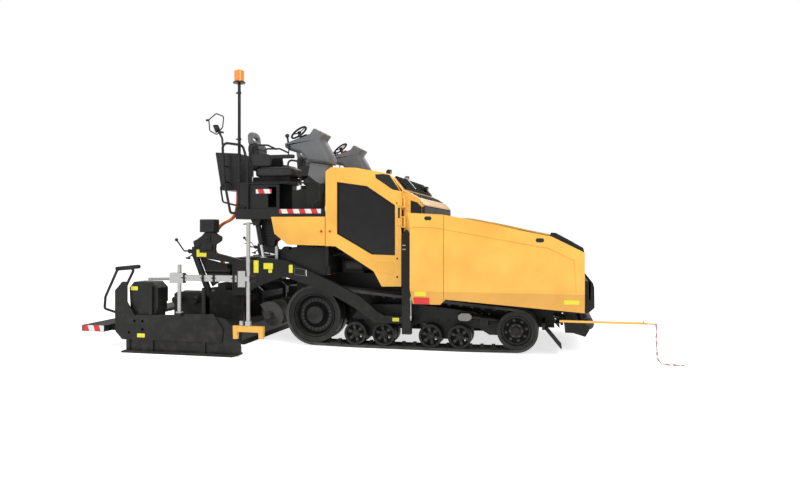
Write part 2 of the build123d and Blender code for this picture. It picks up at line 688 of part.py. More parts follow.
def end_gate():
    plate = side_plate([(-3214, 489), (-3214, 825), (-3104, 943), (-3031, 944), (-3031, 674), (-2916, 497),
                        (-1766, 543), (-1630, 348), (-1651, 173), (-3104, 170), (-3206, 270)], 2130, 2148)
    back = side_plate([(-3040, 30), (-3040, 500), (-1740, 500), (-1610, 480), (-1450, 320), (-1392, 120),
                       (-1392, 30)],
                      gate_inner, 2130)
    gate = plate + back
    for x in (-3040, -2690, -1930, -1440):
        gate += block(x, x + 50, 2130, 2150, 30, 190)
    gate += side_plate([(-3096, 0), (-3096, 16), (-3060, 32), (-1392, 32), (-1376, 60), (-1376, 30),
                        (-1484, 0)],
                       gate_inner, gate_outer)
    gate += block(-2290, -2210, 2100, 2180, 500, 545 - seat)
    for x in (-2690, -1920):
        gate += block(x - 20, x + 20, 2100, 2128, 500, 880)
    for x, z in ((-2918, 423), (-2798, 422), (-2798, 312), (-2999, 266)):
        gate -= rod_y(x, z, 19, 2120, 2160)
    y = 2126
    handle = tube([(-3050, y, 900), (-2930, y, 1125), (-3190, y, 1105), (-3375, y, 731), (-3389, y, 573),
                   (-3190, y, 520)], 14, 24)
    return gate + handle + rod((-3204, y, 1114), (-2858, y, 1148), 24)


def depth_strut():
    y0, y1 = arm_inner - 68, arm_inner - seat
    middle = (y0 + y1) / 2
    strut = side_plate([(-2643, 1390), (-1823, 1195), (-1823, 1130), (-2643, 1250)], y0, y1)
    strut += block(-2700, -2643, middle - 18, middle + 18, 1290, 1350)
    strut += tube([(-2690, middle, 1325), (-2790, middle, 1325), (-2915, middle, 1490)], 12, 30)
    strut += side_plate([(-2643, 1250), (-2560, 1238), (-2360 - seat, 760), (-2360 - seat, 640),
                         (-2420, 700)], y0, y1 - 10)
    return strut


def controls():
    box = block(-2310, -2056, 1030, 1200, 1600, 1795)
    box += side_plate([(-2250, 1600), (-2120, 1600), (-1990, 1480), (-2000, 1240), (-2060, 1252),
                       (-2300, 1310),
                       (-2430, 1400), (-2420, 1470)], 1110, 1150)
    return box


arm_left = tow_arm()
screed_frame = screed()
extension_left = extension()
gate_left = end_gate()

# ---- grade sensor --------------------------------------------------------------------------

sensor_y = -2150.0


def grade_sensor():
    mast = Pos(-2250, sensor_y, (545 + 1183) / 2) * Cylinder(26, 1183 - 545)
    sensor = mast + block(-2372, -2176, sensor_y - 38, sensor_y + 38, 940, 1075)
    sensor += block(-2176, -1400, sensor_y - 24, sensor_y + 24, 970, 1050)
    sensor += block(-1400, -1300, sensor_y - 34, sensor_y + 34, 905, 1110)
    sensor += Pos(-1272, sensor_y, 1090) * Cylinder(26, 1290)
    sensor += block(-1300, -1244, sensor_y - 34, sensor_y + 34, 980, 1040)
    sensor += Pos(-1272, sensor_y, 409 + seat + 30) * Cylinder(44, 60)
    return sensor


def sensor_shoe():
    return side_plate([(-1472, 409), (-1051, 409), (-1056, 251), (-1114, 251), (-1118, 331), (-1408, 331),
                       (-1413, 240), (-1466, 240)], 2134, 2186)


# ---- lift cylinders ------------------------------------------------------------------------


def lift_cylinder():
    """The barrel hangs from the deck and its rod ends over the tow arm."""
    top = Vector(lift_top[0], lift_y, lift_top[1])
    eye = Vector(lift_eye[0], lift_y, lift_eye[1])
    along = (eye - top).normalized()
    end = top + along * 330
    barrel = rod(top + along * 34, end, 38)
    barrel += block(lift_top[0] - 36, lift_top[0] + 36, lift_y - 44, lift_y + 44, lift_top[1] - 40,
                    lift_top[1] + 36)
    barrel -= rod(top + along * 60, end + along, 22 + seat)
    barrel -= rod_y(lift_top[0], lift_top[1], lift_pin + seat, lift_y - 50, lift_y + 50)
    piston = rod(top + along * 240, eye - along * 34, 22)
    piston += block(lift_eye[0] - 44, lift_eye[0] + 44, lift_y - 16, lift_y + 16, lift_eye[1] - 44,
                    lift_eye[1] + 44)
    piston -= rod_y(lift_eye[0], lift_eye[1], lift_pin + 17, lift_y - 60, lift_y + 60)
    return barrel, piston


barrel_left, piston_left = lift_cylinder()

# ---- cables --------------------------------------------------------------------------------

cable_r = 17.0


def bend_radii(points):
    radii = []
    for a, b, c in zip(points, points[1:], points[2:]):
        one, two = Vector(*b) - Vector(*a), Vector(*c) - Vector(*b)
        half_turn = radians(one.get_angle(two) / 2)
        radii.append(0.45 * min(one.length, two.length) / (sin(half_turn) / cos(half_turn)))
    return radii


cable_route = [(-1990, 1010, 2212), (-1990, 1010, 1980), (-2060, 1010, 1800), (-2270, 1010, 1720),
               (-2390, 1010, 1540),
               (-2380, 1010, 1300), (-2170, 1010, 1110), (-2170, 1010, 860 + seat)]


def cable(offset):
    points = [(x, -y + offset, z) for x, y, z in cable_route]
    radii = bend_radii(points)
    print("cable radii over diameter", [round(r / cable_r / 2, 1) for r in radii])
    return tube(points, cable_r, radii)


chain_route = [(3755, bar_y, bar_z - 6 - seat), (3755, bar_y, 120), (3800, bar_y, 24), (3920, bar_y, 14),
               (4080, bar_y, 13)]
chain_r = 12.0
chain = tube(chain_route, chain_r, bend_radii(chain_route))
print("chain radii over diameter", [round(r / chain_r / 2, 1) for r in bend_radii(chain_route)])

# ---- one node for each sub-part ------------------------------------------------------------

nodes = {
    "main_frame": [main_frame, guide_bracket] + flap_beams,
    "conveyors": conveyors,
    "engine_block": [engine_block],
    "side_tanks": side_tanks,
    "track_frames": track_frames,
    "track_belt_left": [belts[0]],
    "track_belt_right": [belts[1]],
    "drive_wheels": drive_wheels,
    "idler_wheels": idler_wheels,
    "road_wheels": road_wheels,
    "body_shell": [shell],
    "rear_side_panels": rear_panels + pair(cover_left),
    "hood_lid": [lid],
    "side_door_left": [doors[0]],
    "side_door_right": [doors[1]],
    "deck": [deck()],
    "station_plinths": pair(station_parts[0]),
    "console_legs": pair(station_parts[1]),
    "guard_rails": pair(station_parts[2]),
    "seat_left": list(seat_parts),
    "seat_right": [right(p) for p in seat_parts],
    "console_left": [console],
    "console_right": [right(console)],
    "steering_wheel_left": [wheel_turn],
    "steering_wheel_right": [right(wheel_turn)],
    "rear_handrails": pair(rail_parts),
    "rear_lockers": pair(locker_body),
    "beacon_mast": [beacon_mast],
    "beacon": [beacon],
    "guide_bar": [guide_rail],
    "guide_chain": [chain],
    "scraper_flaps": flaps,
    "push_roller_bar": [push_bar()],
    "push_roller_left": [push_roller],
    "push_roller_right": [right(push_roller)],
    "hopper_apron": [apron()],
    "hopper_wing_left": [wing_left],
    "hopper_wing_right": [right(wing_left)],
    "wing_panel_left": [panel_left],
    "wing_panel_right": [right(panel_left)],
    "auger_left": [auger_left],
    "auger_right": [right(auger_left)],
    "auger_gearbox": [gearbox],
    "tow_arms": pair(arm_left),
    "screed_frame": [screed_frame],
    "main_walkway": [main_walkway()],
    "screed_extension_left": [extension_left],
    "screed_extension_right": [right(extension_left)],
    "end_gate_left": [gate_left],
    "end_gate_right": [right(gate_left)],
    "depth_struts": pair(depth_strut()),
    "screed_controls": pair(controls()),
    "grade_sensor": [grade_sensor()],
    "sensor_shoe": [right(sensor_shoe())],
    "lift_barrels": pair(barrel_left),
    "lift_pistons": pair(piston_left),
    "orange_cables": [cable(0), cable(46)],
}

os.makedirs("parts", exist_ok=True)
for name, solids in nodes.items():
    export_step(Compound(children=[s for piece in solids for s in piece.solids()]), f"parts/{name}.step")
print(len(nodes), "nodes")
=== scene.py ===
# Dresses the jointed tracked paver: paint and rubber for the CAD nodes, and the rails, wheels' fittings,
# seats, cables, lamps, stripes and bolts that the CAD leaves out. Metres, +X forward, +Y left, +Z up.
from math import atan2, cos, exp, pi, radians, sin, tan

import bmesh
import bpy
from mathutils import Matrix, Vector


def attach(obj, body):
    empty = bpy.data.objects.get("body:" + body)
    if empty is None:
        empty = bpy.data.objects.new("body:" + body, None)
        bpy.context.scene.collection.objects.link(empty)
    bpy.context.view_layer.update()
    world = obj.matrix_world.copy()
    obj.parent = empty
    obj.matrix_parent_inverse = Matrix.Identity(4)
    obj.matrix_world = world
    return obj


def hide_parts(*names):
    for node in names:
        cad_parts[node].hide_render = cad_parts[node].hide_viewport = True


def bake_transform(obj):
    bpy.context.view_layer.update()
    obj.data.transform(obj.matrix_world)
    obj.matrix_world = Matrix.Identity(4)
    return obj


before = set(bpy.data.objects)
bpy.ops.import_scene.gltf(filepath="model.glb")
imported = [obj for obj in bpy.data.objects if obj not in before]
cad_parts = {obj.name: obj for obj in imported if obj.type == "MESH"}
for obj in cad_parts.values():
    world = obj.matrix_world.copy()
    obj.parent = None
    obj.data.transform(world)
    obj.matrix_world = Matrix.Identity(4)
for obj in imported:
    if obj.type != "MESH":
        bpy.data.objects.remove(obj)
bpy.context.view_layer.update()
scene = bpy.context.scene
print("frame loaded")

# Node maths: a Signal is a socket that can be added, multiplied and so on.


class Signal:
    def __init__(self, tree, socket):
        self.tree, self.socket = tree, socket

    def __add__(self, other):
        return calc("ADD", self, other)

    def __mul__(self, other):
        return calc("MULTIPLY", self, other)

    def __truediv__(self, other):
        return calc("DIVIDE", self, other)

    def __sub__(self, other):
        return calc("SUBTRACT", self, other)

    def __rsub__(self, other):
        return calc("SUBTRACT", other, self)

    def __gt__(self, other):
        return calc("GREATER_THAN", self, other)

    def within(self, low, high):  # 0 at low, 1 at high, clamped
        return calc("MAXIMUM", (self - low) * (1 / (high - low)), 0, True)

    __radd__, __rmul__ = __add__, __mul__


def feed(tree, place, value):
    if isinstance(value, Signal):
        tree.links.new(value.socket, place)
    else:
        place.default_value = value


def calc(operation, one, two=0, clamp=False):
    tree = (one if isinstance(one, Signal) else two).tree
    made = tree.nodes.new("ShaderNodeMath")
    made.operation, made.use_clamp = operation, clamp
    for place, value in zip(made.inputs, (one, two)):
        feed(tree, place, value)
    return Signal(tree, made.outputs[0])


class Maker:
    def __init__(self, owner):  # a material or a world
        owner.use_nodes = True
        self.owner, self.tree = owner, owner.node_tree
        self.tree.nodes.clear()

    def node(self, kind, settings=None, output=0, **sockets):  # i2 is the socket numbered 2
        made = self.tree.nodes.new(kind)
        for key, value in (settings or {}).items():
            setattr(made, key, value)
        for key, value in sockets.items():
            numbered = key[0] == "i" and key[1:].isdigit()
            feed(self.tree, made.inputs[int(key[1:]) if numbered else key.replace("_", " ")], value)
        return Signal(self.tree, made.outputs[output]) if made.outputs else made


class Finish(Maker):
    def __init__(self, name):
        super().__init__(bpy.data.materials.new(name))

    def spot(self):  # where the point is on the piece, in metres
        return self.node("ShaderNodeTexCoord", output="Object")

    def along(self, axis):
        return self.node("ShaderNodeSeparateXYZ", output=axis, Vector=self.spot())

    def noise(self, scale, detail=3.0, stretch=(1, 1, 1), rough=0.5):
        place = self.node("ShaderNodeMapping", Vector=self.spot(), Scale=stretch)
        return self.node("ShaderNodeTexNoise", Vector=place, Scale=scale, Detail=detail, Roughness=rough)

    def mix(self, share, one, two):
        return self.node("ShaderNodeMix", {"data_type": "RGBA"}, 2, i0=share, i6=one, i7=two)

    def bump(self, height, depth, strength, **under):
        return self.node("ShaderNodeBump", Height=height, Distance=depth, Strength=strength, **under)

    def surface(self, **sockets):
        shader = self.node("ShaderNodeBsdfPrincipled", **sockets)
        self.node("ShaderNodeOutputMaterial", Surface=shader)
        return self.owner


def rgb(r, g, b):
    return (r, g, b, 1.0)


def grey(value):
    return rgb(value, value, value)


def times(colour, factor):
    return rgb(*(c * factor for c in colour[:3]))


# Finishes. Each reads where it is on the machine, so dust gathers low down.

paints = {  # colour, worn colour, roughness, coat, dust, shine
    "amberPaint": (rgb(0.93, 0.5, 0.075), rgb(0.8, 0.4, 0.05), 0.34, 0.35, 0.12, 0.5),
    "satinBlackPaint": (rgb(0.0135, 0.0135, 0.013), grey(0.008), 0.42, 0, 0.13, 0.24),
    "wheelPaint": (grey(0.014), grey(0.008), 0.46, 0, 0.13, 0.3),
    # painted shade: a near-black paint laid over the floors of the wheel recesses
    "recessPaint": (grey(0.0035), grey(0.002), 0.6, 0, 0.04, 0.12),
    # painted shade: a darker amber for the lower band of the side covers, which faces down and gets less light
    "amberLower": (rgb(0.78, 0.4, 0.056), rgb(0.7, 0.34, 0.042), 0.36, 0.3, 0.13, 0.5),
    "castingPaint": (grey(0.03), grey(0.012), 0.6, 0, 0.13, 0.25),
    "darkSteel": (rgb(0.04, 0.038, 0.036), rgb(0.018, 0.017, 0.016), 0.4, 0, 0.3, 0.5),
    "labelYellow": (rgb(0.86, 0.8, 0.03), rgb(0.75, 0.68, 0.03), 0.4, 0.1, 0.2, 0.5),
    "labelRed": (rgb(0.75, 0.03, 0.02), rgb(0.6, 0.02, 0.02), 0.4, 0.1, 0.2, 0.5),
}


def paint(name, colour, deep, rough, coat, dusty, shine):
    skin = Finish(name)
    broad = skin.noise(2.2, 4.0)
    fine = skin.noise(420.0, 2.0)
    chips = skin.noise(38.0, 5.0, rough=0.7).within(0.66, 0.72)
    dust = (1 - skin.along("Z").within(0.0, 1.1)) * skin.noise(9.0, 5.0).within(0.45, 0.75) * dusty
    tone = skin.mix(broad.within(0.35, 0.7), colour, deep)
    tone = skin.mix(chips * 0.1, tone, rgb(0.09, 0.085, 0.08))
    tone = skin.mix(dust, tone, rgb(0.22, 0.20, 0.17))
    roughness = broad * 0.1 + (rough - 0.05) + dust * 0.5 + chips * 0.1
    edge = skin.node("ShaderNodeBevel", {"samples": 4}, Radius=0.004)
    return skin.surface(Base_Color=tone, Roughness=roughness, Normal=skin.bump(fine, 0.0004, 0.35, Normal=edge),
                        Coat_Weight=coat, Coat_Roughness=0.12, Specular_IOR_Level=shine)


def rubber(name, colour, grain=160.0, dusty=0.5):
    skin = Finish(name)
    broad, fine = skin.noise(5.0, 5.0), skin.noise(grain, 3.0)
    dust = skin.noise(14.0, 6.0).within(0.5, 0.8) * (1 - skin.along("Z").within(0.0, 0.9)) * dusty
    lighter = rgb(*(min(1.0, c * 1.9 + 0.01) for c in colour[:3]))
    tone = skin.mix(dust, skin.mix(broad.within(0.4, 0.75), colour, lighter), rgb(0.16, 0.15, 0.13))
    return skin.surface(Base_Color=tone, Roughness=fine * 0.2 + 0.66, Normal=skin.bump(fine, 0.0012, 0.5),
                        Specular_IOR_Level=0.25)


def metal(name, colour, rough, brushed=(1, 1, 1), rust=0.0):
    skin = Finish(name)
    lines = skin.noise(60.0, 4.0, brushed)
    stain = skin.noise(11.0, 6.0, rough=0.65).within(0.52, 0.7) * rust
    tone = skin.mix(stain, skin.mix(lines.within(0.3, 0.75), colour, times(colour, 0.72)), rgb(0.16, 0.07, 0.03))
    return skin.surface(Base_Color=tone, Metallic=1 - stain * 0.9, Roughness=lines * 0.22 + rough + stain * 0.35,
                        Normal=skin.bump(lines, 0.0005, 0.3))


def plastic(name, colour, rough=0.5):
    skin = Finish(name)
    fine, broad = skin.noise(900.0, 2.0), skin.noise(6.0, 4.0)
    tone = skin.mix(broad.within(0.4, 0.8), colour, times(colour, 0.8))
    return skin.surface(Base_Color=tone, Roughness=broad * 0.14 + rough - 0.07,
                        Normal=skin.bump(fine, 0.0006, 0.5), Specular_IOR_Level=0.3)


def vinyl(name, colour):
    skin = Finish(name)
    cells = skin.node("ShaderNodeTexVoronoi", {"feature": "DISTANCE_TO_EDGE"}, Vector=skin.spot(), Scale=330.0)
    creases = skin.noise(16.0, 5.0, rough=0.65)
    tone = skin.mix(creases.within(0.4, 0.7), colour, times(colour, 1.7))
    return skin.surface(Base_Color=tone, Roughness=creases * 0.25 + 0.36, Specular_IOR_Level=0.3,
                        Normal=skin.bump(cells.within(0.0, 0.16) + creases * 0.6, 0.0009, 0.6))


def banded(name, first, second, width, slant):  # reflective stripes that lean over
    skin = Finish(name)
    run = (skin.along("X") + skin.along("Z") * slant) * (1 / width)
    grain = skin.noise(700.0, 1.0)
    dirt = skin.noise(22.0, 5.0).within(0.55, 0.85) * 0.25
    tone = skin.mix(dirt, skin.mix(run - calc("FLOOR", run) > 0.5, first, second), rgb(0.2, 0.18, 0.16))
    return skin.surface(Base_Color=tone, Roughness=grain * 0.15 + 0.35, Normal=skin.bump(grain, 0.0003, 0.4))


def lens(name, colour):
    skin = Finish(name)
    cloud = skin.noise(30.0, 3.0)
    tone = skin.mix(cloud.within(0.3, 0.8), colour, rgb(colour[0], colour[1] * 0.75, colour[2]))
    return skin.surface(Base_Color=tone, Roughness=cloud * 0.1 + 0.12, Coat_Weight=0.6, Emission_Color=tone,
                        Emission_Strength=0.12)


# this smoked finish also makes the near-black sheets of painted shade under the intake's and louvre's slats
def glass(name, colour, rough):  # smoked panes, which show as near black
    skin = Finish(name)
    smear = skin.noise(7.0, 5.0)
    return skin.surface(Base_Color=skin.mix(smear, colour, times(colour, 1.5)), Roughness=smear * 0.12 + rough,
                        Specular_IOR_Level=0.3)


amber, black, wheelPaint, recessPaint, foldShadeAmber, castPaint, darkSteel, labelYellow, labelRed = (
    paint(name, *row) for name, row in paints.items())
beltRubber = rubber("beltRubber", rgb(0.044, 0.044, 0.043), dusty=0.3)
flapRubber = rubber("flapRubber", grey(0.016), 90.0, 0.2)
gripRubber = rubber("gripRubber", grey(0.012), 600.0, 0.0)
orangeJacket = rubber("orangeJacket", rgb(0.62, 0.13, 0.03), 500.0, 0.15)
wornSteel = metal("wornSteel", rgb(0.32, 0.31, 0.30), 0.38, (1, 6, 1), 0.6)
silver = metal("satinSilver", rgb(0.50, 0.50, 0.49), 0.3, (1, 1, 14))
dullSilver = metal("dullSilver", rgb(0.30, 0.30, 0.29), 0.45, rust=0.1)
chrome = metal("polishedRod", rgb(0.8, 0.8, 0.82), 0.1)
greyPlastic = plastic("consoleGrey", rgb(0.140, 0.143, 0.148), 0.55)
blackPlastic = plastic("blackPlastic", rgb(0.014, 0.014, 0.015), 0.48)
redPlastic = plastic("redPlastic", rgb(0.62, 0.02, 0.02), 0.4)
whitePlastic = plastic("whitePlastic", rgb(0.72, 0.72, 0.70), 0.4)
lampLens = plastic("lampLens", rgb(0.55, 0.56, 0.58), 0.15)
amberLens = lens("amberLens", rgb(1.0, 0.30, 0.01))
seatVinyl = vinyl("seatVinyl", grey(0.012))
smokedAndShade = glass("smokedPane", grey(0.009), 0.14)
stripes = banded("stripesAlong", rgb(0.78, 0.77, 0.73), rgb(0.62, 0.02, 0.03), 0.178, 0.35)
print("finishes made")

nodeFinish = {  # the other nodes are satin black
    amber: ["body_shell", "rear_side_panels", "hood_lid", "side_door_left", "side_door_right", "wing_panel_left",
            "wing_panel_right", "guide_bar", "sensor_shoe"],
    wheelPaint: ["drive_wheels", "idler_wheels", "road_wheels"],
    beltRubber: ["track_belt_left", "track_belt_right"],
    flapRubber: ["scraper_flaps"],
    wornSteel: ["conveyors"],
    darkSteel: ["auger_left", "auger_right", "push_roller_left", "push_roller_right"],
    silver: ["grade_sensor"],
    chrome: ["lift_pistons"],
    castPaint: ["engine_block"],
    greyPlastic: ["console_left", "console_right"],
    blackPlastic: ["steering_wheel_left", "steering_wheel_right"],
    seatVinyl: ["seat_left", "seat_right"],
    amberLens: ["beacon"],
    orangeJacket: ["orange_cables"],
    redPlastic: ["guide_chain"],
}
dressed = {name: finish for finish, names in nodeFinish.items() for name in names}
for name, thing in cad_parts.items():
    finish = dressed.get(name, black)
    if not thing.data.materials:
        thing.data.materials.append(finish)
    for place in thing.material_slots:
        place.material = finish
print("CAD nodes dressed")

# Floor, light and camera.

studio = {
    "eye": (2.5, -10.04, 1.65), "turn": 12.7, "lens": 29.925, "film": 36.0, "shiftY": -0.01375,
    "reach": 60.0, "drop": 0.001, "floor": grey(0.82), "glow": 0.70, "light": 0.62, "seen": 1.0,
    "lamps": {  # place, aim and power; each is a square of lampSize
        "key": ((5.5, -7.5, 8.0), (0, 0, 1.0), 620.0), "fill": ((-7.5, -6.5, 5.5), (-1.0, 0, 1.0), 300.0),
        "back": ((-1.0, 8.0, 7.0), (0, 0, 1.2), 320.0)}, "lampSize": 6.0,
}


def newObject(name, data):
    thing = bpy.data.objects.new(name, data)
    scene.collection.objects.link(thing)
    return thing


def backdrop(base, strength):  # white where the eye, a mirror or glass sees it, plain light elsewhere
    skin = Finish("studioFloor")
    eye, mirror, through = (skin.node("ShaderNodeLightPath", output=f"Is {kind} Ray")
                            for kind in ("Camera", "Glossy", "Transmission"))
    glow = skin.node("ShaderNodeEmission", Color=grey(1), Strength=strength)
    matte = skin.node("ShaderNodeBsdfDiffuse", Color=base)
    both = skin.node("ShaderNodeAddShader", i0=matte, i1=glow)
    direct = calc("MINIMUM", eye + mirror + through, 1.0)
    skin.node("ShaderNodeOutputMaterial",
              Surface=skin.node("ShaderNodeMixShader", i0=direct, i1=matte, i2=both))
    return skin.owner


cameraData = bpy.data.cameras.new("view")
cameraData.lens, cameraData.sensor_width, cameraData.shift_y = (studio[key] for key in ("lens", "film", "shiftY"))
scene.camera = newObject("view", cameraData)
scene.camera.location = studio["eye"]
scene.camera.rotation_euler = (pi / 2, 0, radians(studio["turn"]))
scene.view_settings.view_transform = "Standard"

floorMesh, far = bpy.data.meshes.new("floor"), studio["reach"]
floorMesh.from_pydata([(-far, -far, 0), (far, -far, 0), (far, far, 0), (-far, far, 0)], [], [(0, 1, 2, 3)])
floorMesh.materials.append(backdrop(studio["floor"], studio["glow"]))
floor = newObject("floor", floorMesh)
floor.location.z = -studio["drop"]

sky = Maker(bpy.data.worlds.new("studio"))
scene.world = sky.owner
light, seen = (sky.node("ShaderNodeBackground", Color=grey(1), Strength=studio[key]) for key in ("light", "seen"))
eye = sky.node("ShaderNodeLightPath", output="Is Camera Ray")
sky.node("ShaderNodeOutputWorld", Surface=sky.node("ShaderNodeMixShader", i0=eye, i1=light, i2=seen))

for name, (place, aim, power) in studio["lamps"].items():
    light = bpy.data.lights.new(name, "AREA")
    light.energy, light.size = power, studio["lampSize"]
    lamp = newObject(name, light)
    lamp.location = place
    lamp.rotation_euler = (Vector(aim) - Vector(place)).to_track_quat("-Z", "Y").to_euler()
print("stage lit")

# Shapes. A Shape gathers points and faces; settle() makes one object of it, riding on a body.

out, upright = (0, 1, 0), (0, 0, 1)
sides = (("Left", 1), ("Right", -1))
corner = {"softAngle": 40, "softSteps": 2, "sameSpot": 2e-6}


def level(y, line):  # (x, z) points set at one y
    return [(x, y, z) for x, z in line]


def bent(points, bends, steps):  # a route whose corners are rounded
    points = [Vector(p) for p in points]
    bends = bends if isinstance(bends, list) else [bends] * (len(points) - 2)
    route = [points[0]]
    for a, b, c, radius in zip(points, points[1:], points[2:], bends):
        one, two = (a - b).normalized(), (c - b).normalized()
        half = one.angle(two) / 2
        if half > pi / 2 - 0.02:
            route.append(b)
            continue
        back = min(radius / tan(half), (a - b).length * 0.49, (c - b).length * 0.49)
        centre = b + (one + two).normalized() * (back * tan(half) / sin(half))
        start, end = b + one * back - centre, b + two * back - centre
        turn = start.angle(end)
        for k in range(steps + 1):
            t = k / steps
            route.append(centre + (start * sin((1 - t) * turn) + end * sin(t * turn)) / sin(turn))
    return route + [points[-1]]


def drawnIn(outline, width):  # the same outline drawn in by a width
    n = len(outline)
    area = sum(a[0] * b[1] - b[0] * a[1] for a, b in zip(outline, outline[1:] + outline[:1]))
    side = 1 if area > 0 else -1
    inner = []
    for i in range(n):
        a, b, c = (Vector(outline[(i + k) % n]) for k in (-1, 0, 1))
        one, two = (b - a).normalized(), (c - b).normalized()
        n1, n2 = Vector((-one.y, one.x)) * side, Vector((-two.y, two.x)) * side
        way = (n1 + n2).normalized()
        inner.append(tuple(b + way * width / max(0.4, way.dot(n1))))
    return inner


class Shape:
    def __init__(self, points=(), faces=()):
        self.points, self.faces = list(points), list(faces)

    def add(self, points, faces):
        start = len(self.points)
        self.points += [tuple(p) for p in points]
        self.faces += [tuple(start + i for i in face) for face in faces]
        return self

    def box(self, low, high, tilt=0.0):  # tilt turns it about Y round its own middle
        low, high = Vector(low), Vector(high)
        middle, turn = (low + high) / 2, Matrix.Rotation(radians(tilt), 3, "Y")
        corners = [Vector((x, y, z)) for x in (low.x, high.x) for y in (low.y, high.y) for z in (low.z, high.z)]
        return self.add([middle + turn @ (c - middle) for c in corners], [
            (0, 1, 3, 2), (4, 6, 7, 5), (0, 4, 5, 1), (2, 3, 7, 6), (0, 2, 6, 4), (1, 5, 7, 3)])

    def prism(self, outline, y0, y1):  # an (x, z) outline stretched along Y
        n = len(outline)
        faces = [(i, (i + 1) % n, n + (i + 1) % n, n + i) for i in range(n)]
        return self.add(level(y0, outline) + level(y1, outline),
                        faces + [tuple(reversed(range(n))), tuple(range(n, 2 * n))])

    def strip(self, start, end, low, high, y0, y1):  # a slab between two (x, z) points, low to high over them
        (ax, az), (bx, bz) = start, end
        return self.prism([(ax, az + low), (bx, bz + low), (bx, bz + high), (ax, az + high)], y0, y1)

    def plate(self, x0, z0, x1, z1, y0, y1, soft=0.006):  # an upright plate with rounded corners
        (x0, x1), (z0, z1) = sorted((x0, x1)), sorted((z0, z1))
        spots = ((x1 - soft, z1 - soft), (x0 + soft, z1 - soft), (x0 + soft, z0 + soft), (x1 - soft, z0 + soft))
        return self.prism([(x + soft * cos(t), z + soft * sin(t)) for start, (x, z) in enumerate(spots)
                           for t in ((start + k / 4) * pi / 2 for k in range(5))], y0, y1)

    def skin(self, rings, closed=False):
        n, faces = len(rings[0]), []
        for k in range(len(rings) - (0 if closed else 1)):
            m = (k + 1) % len(rings)
            faces += [(k * n + i, k * n + (i + 1) % n, m * n + (i + 1) % n, m * n + i) for i in range(n)]
        if not closed:
            faces += [tuple(reversed(range(n))), tuple(range((len(rings) - 1) * n, len(rings) * n))]
        return self.add([p for ring in rings for p in ring], faces)

    def rim(self, outline, width, y0, y1):  # a flat frame that follows an outline
        inner = drawnIn(outline, width)
        return self.skin([level(y, line) for line, y in ((outline, y0), (outline, y1), (inner, y1), (inner, y0))],
                         True)

    def tube(self, route, radius, count=14):
        route = [Vector(p) for p in route]
        rings, across = [], None
        for i, p in enumerate(route):
            ahead = (route[min(i + 1, len(route) - 1)] - route[max(i - 1, 0)]).normalized()
            across = across or ahead.orthogonal().normalized()
            across = (across - ahead * across.dot(ahead)).normalized()
            other = ahead.cross(across)
            rings.append([p + across * radius * cos(t) + other * radius * sin(t)
                          for t in (2 * pi * k / count for k in range(count))])
        return self.skin(rings)

    def bend(self, points, bends, radius, count=14, steps=6):  # a tube whose corners are rounded
        return self.tube(bent(points, bends, steps), radius, count)

    def turned(self, profile, centre, axis=out, count=40):  # (radius, along) points round an axis
        axis, centre = Vector(axis).normalized(), Vector(centre)
        one = axis.orthogonal().normalized()
        two = axis.cross(one)
        return self.skin([[centre + axis * along + (one * cos(t) + two * sin(t)) * max(radius, 1e-7)
                           for t in (2 * pi * k / count for k in range(count))] for radius, along in profile],
                         profile[0][0] > 0)

    def solid(self, profile, centre, axis=out, count=40):  # turned, and closed to the axis at both ends
        return self.turned([(0, profile[0][1]), *profile, (0, profile[-1][1])], centre, axis, count)

    def shift(self, matrix):
        self.points = [tuple(matrix @ Vector(p)) for p in self.points]
        return self

    def on(self, side):  # itself, or its mirror image for the right
        if side > 0:
            return self
        return Shape([(x, -y, z) for x, y, z in self.points], [tuple(reversed(f)) for f in self.faces])

    def join(self, other):
        return self.add(other.points, other.faces)

    def double(self):  # itself and its mirror image as one
        return self.join(self.on(-1))


def dress(name, mesh, finish, body="tractor", slot=None, bevel=0.0, angle=35.0, stands=()):
    thing = newObject(name, mesh)
    mesh.materials.clear()
    mesh.materials.append(finish)
    mesh.shade_smooth()
    mesh.set_sharp_from_angle(angle=radians(angle))
    if bevel:
        soft = thing.modifiers.new("softEdges", "BEVEL")
        soft.width, soft.segments = bevel, corner["softSteps"]
        soft.limit_method, soft.angle_limit = "ANGLE", radians(corner["softAngle"])
    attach(thing, body)
    if stands:
        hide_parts(*stands)
    return thing


def settle(name, shape, finish, **how):
    mesh = bpy.data.meshes.new(name)
    mesh.from_pydata(shape.points, [], shape.faces)
    work = bmesh.new()
    work.from_mesh(mesh)
    bmesh.ops.remove_doubles(work, verts=work.verts, dist=corner["sameSpot"])
    bmesh.ops.dissolve_degenerate(work, dist=corner["sameSpot"], edges=work.edges)
    bmesh.ops.recalc_face_normals(work, faces=work.faces)
    work.to_mesh(mesh)
    work.free()
    return dress(name, mesh, finish, **how)


def both(name, shape, finish, body="tractor", stands=(), **how):
    # a * in a name is the side, and a node without one is replaced by the left piece
    made = []
    for tag, side in sides:
        nodes = [node.replace("*", tag.lower()) for node in stands if side > 0 or "*" in node]
        made.append(settle(name + tag, shape.on(side), finish, body=body.replace("*", tag.lower()), stands=nodes,
                           **how))
    return made


def turnOf(angle, axis):
    return Matrix.Rotation(angle, 4, axis)


move = Matrix.Translation

# Repeats. A Grower builds a Geometry Nodes tree; grow() runs it and keeps the plain mesh.


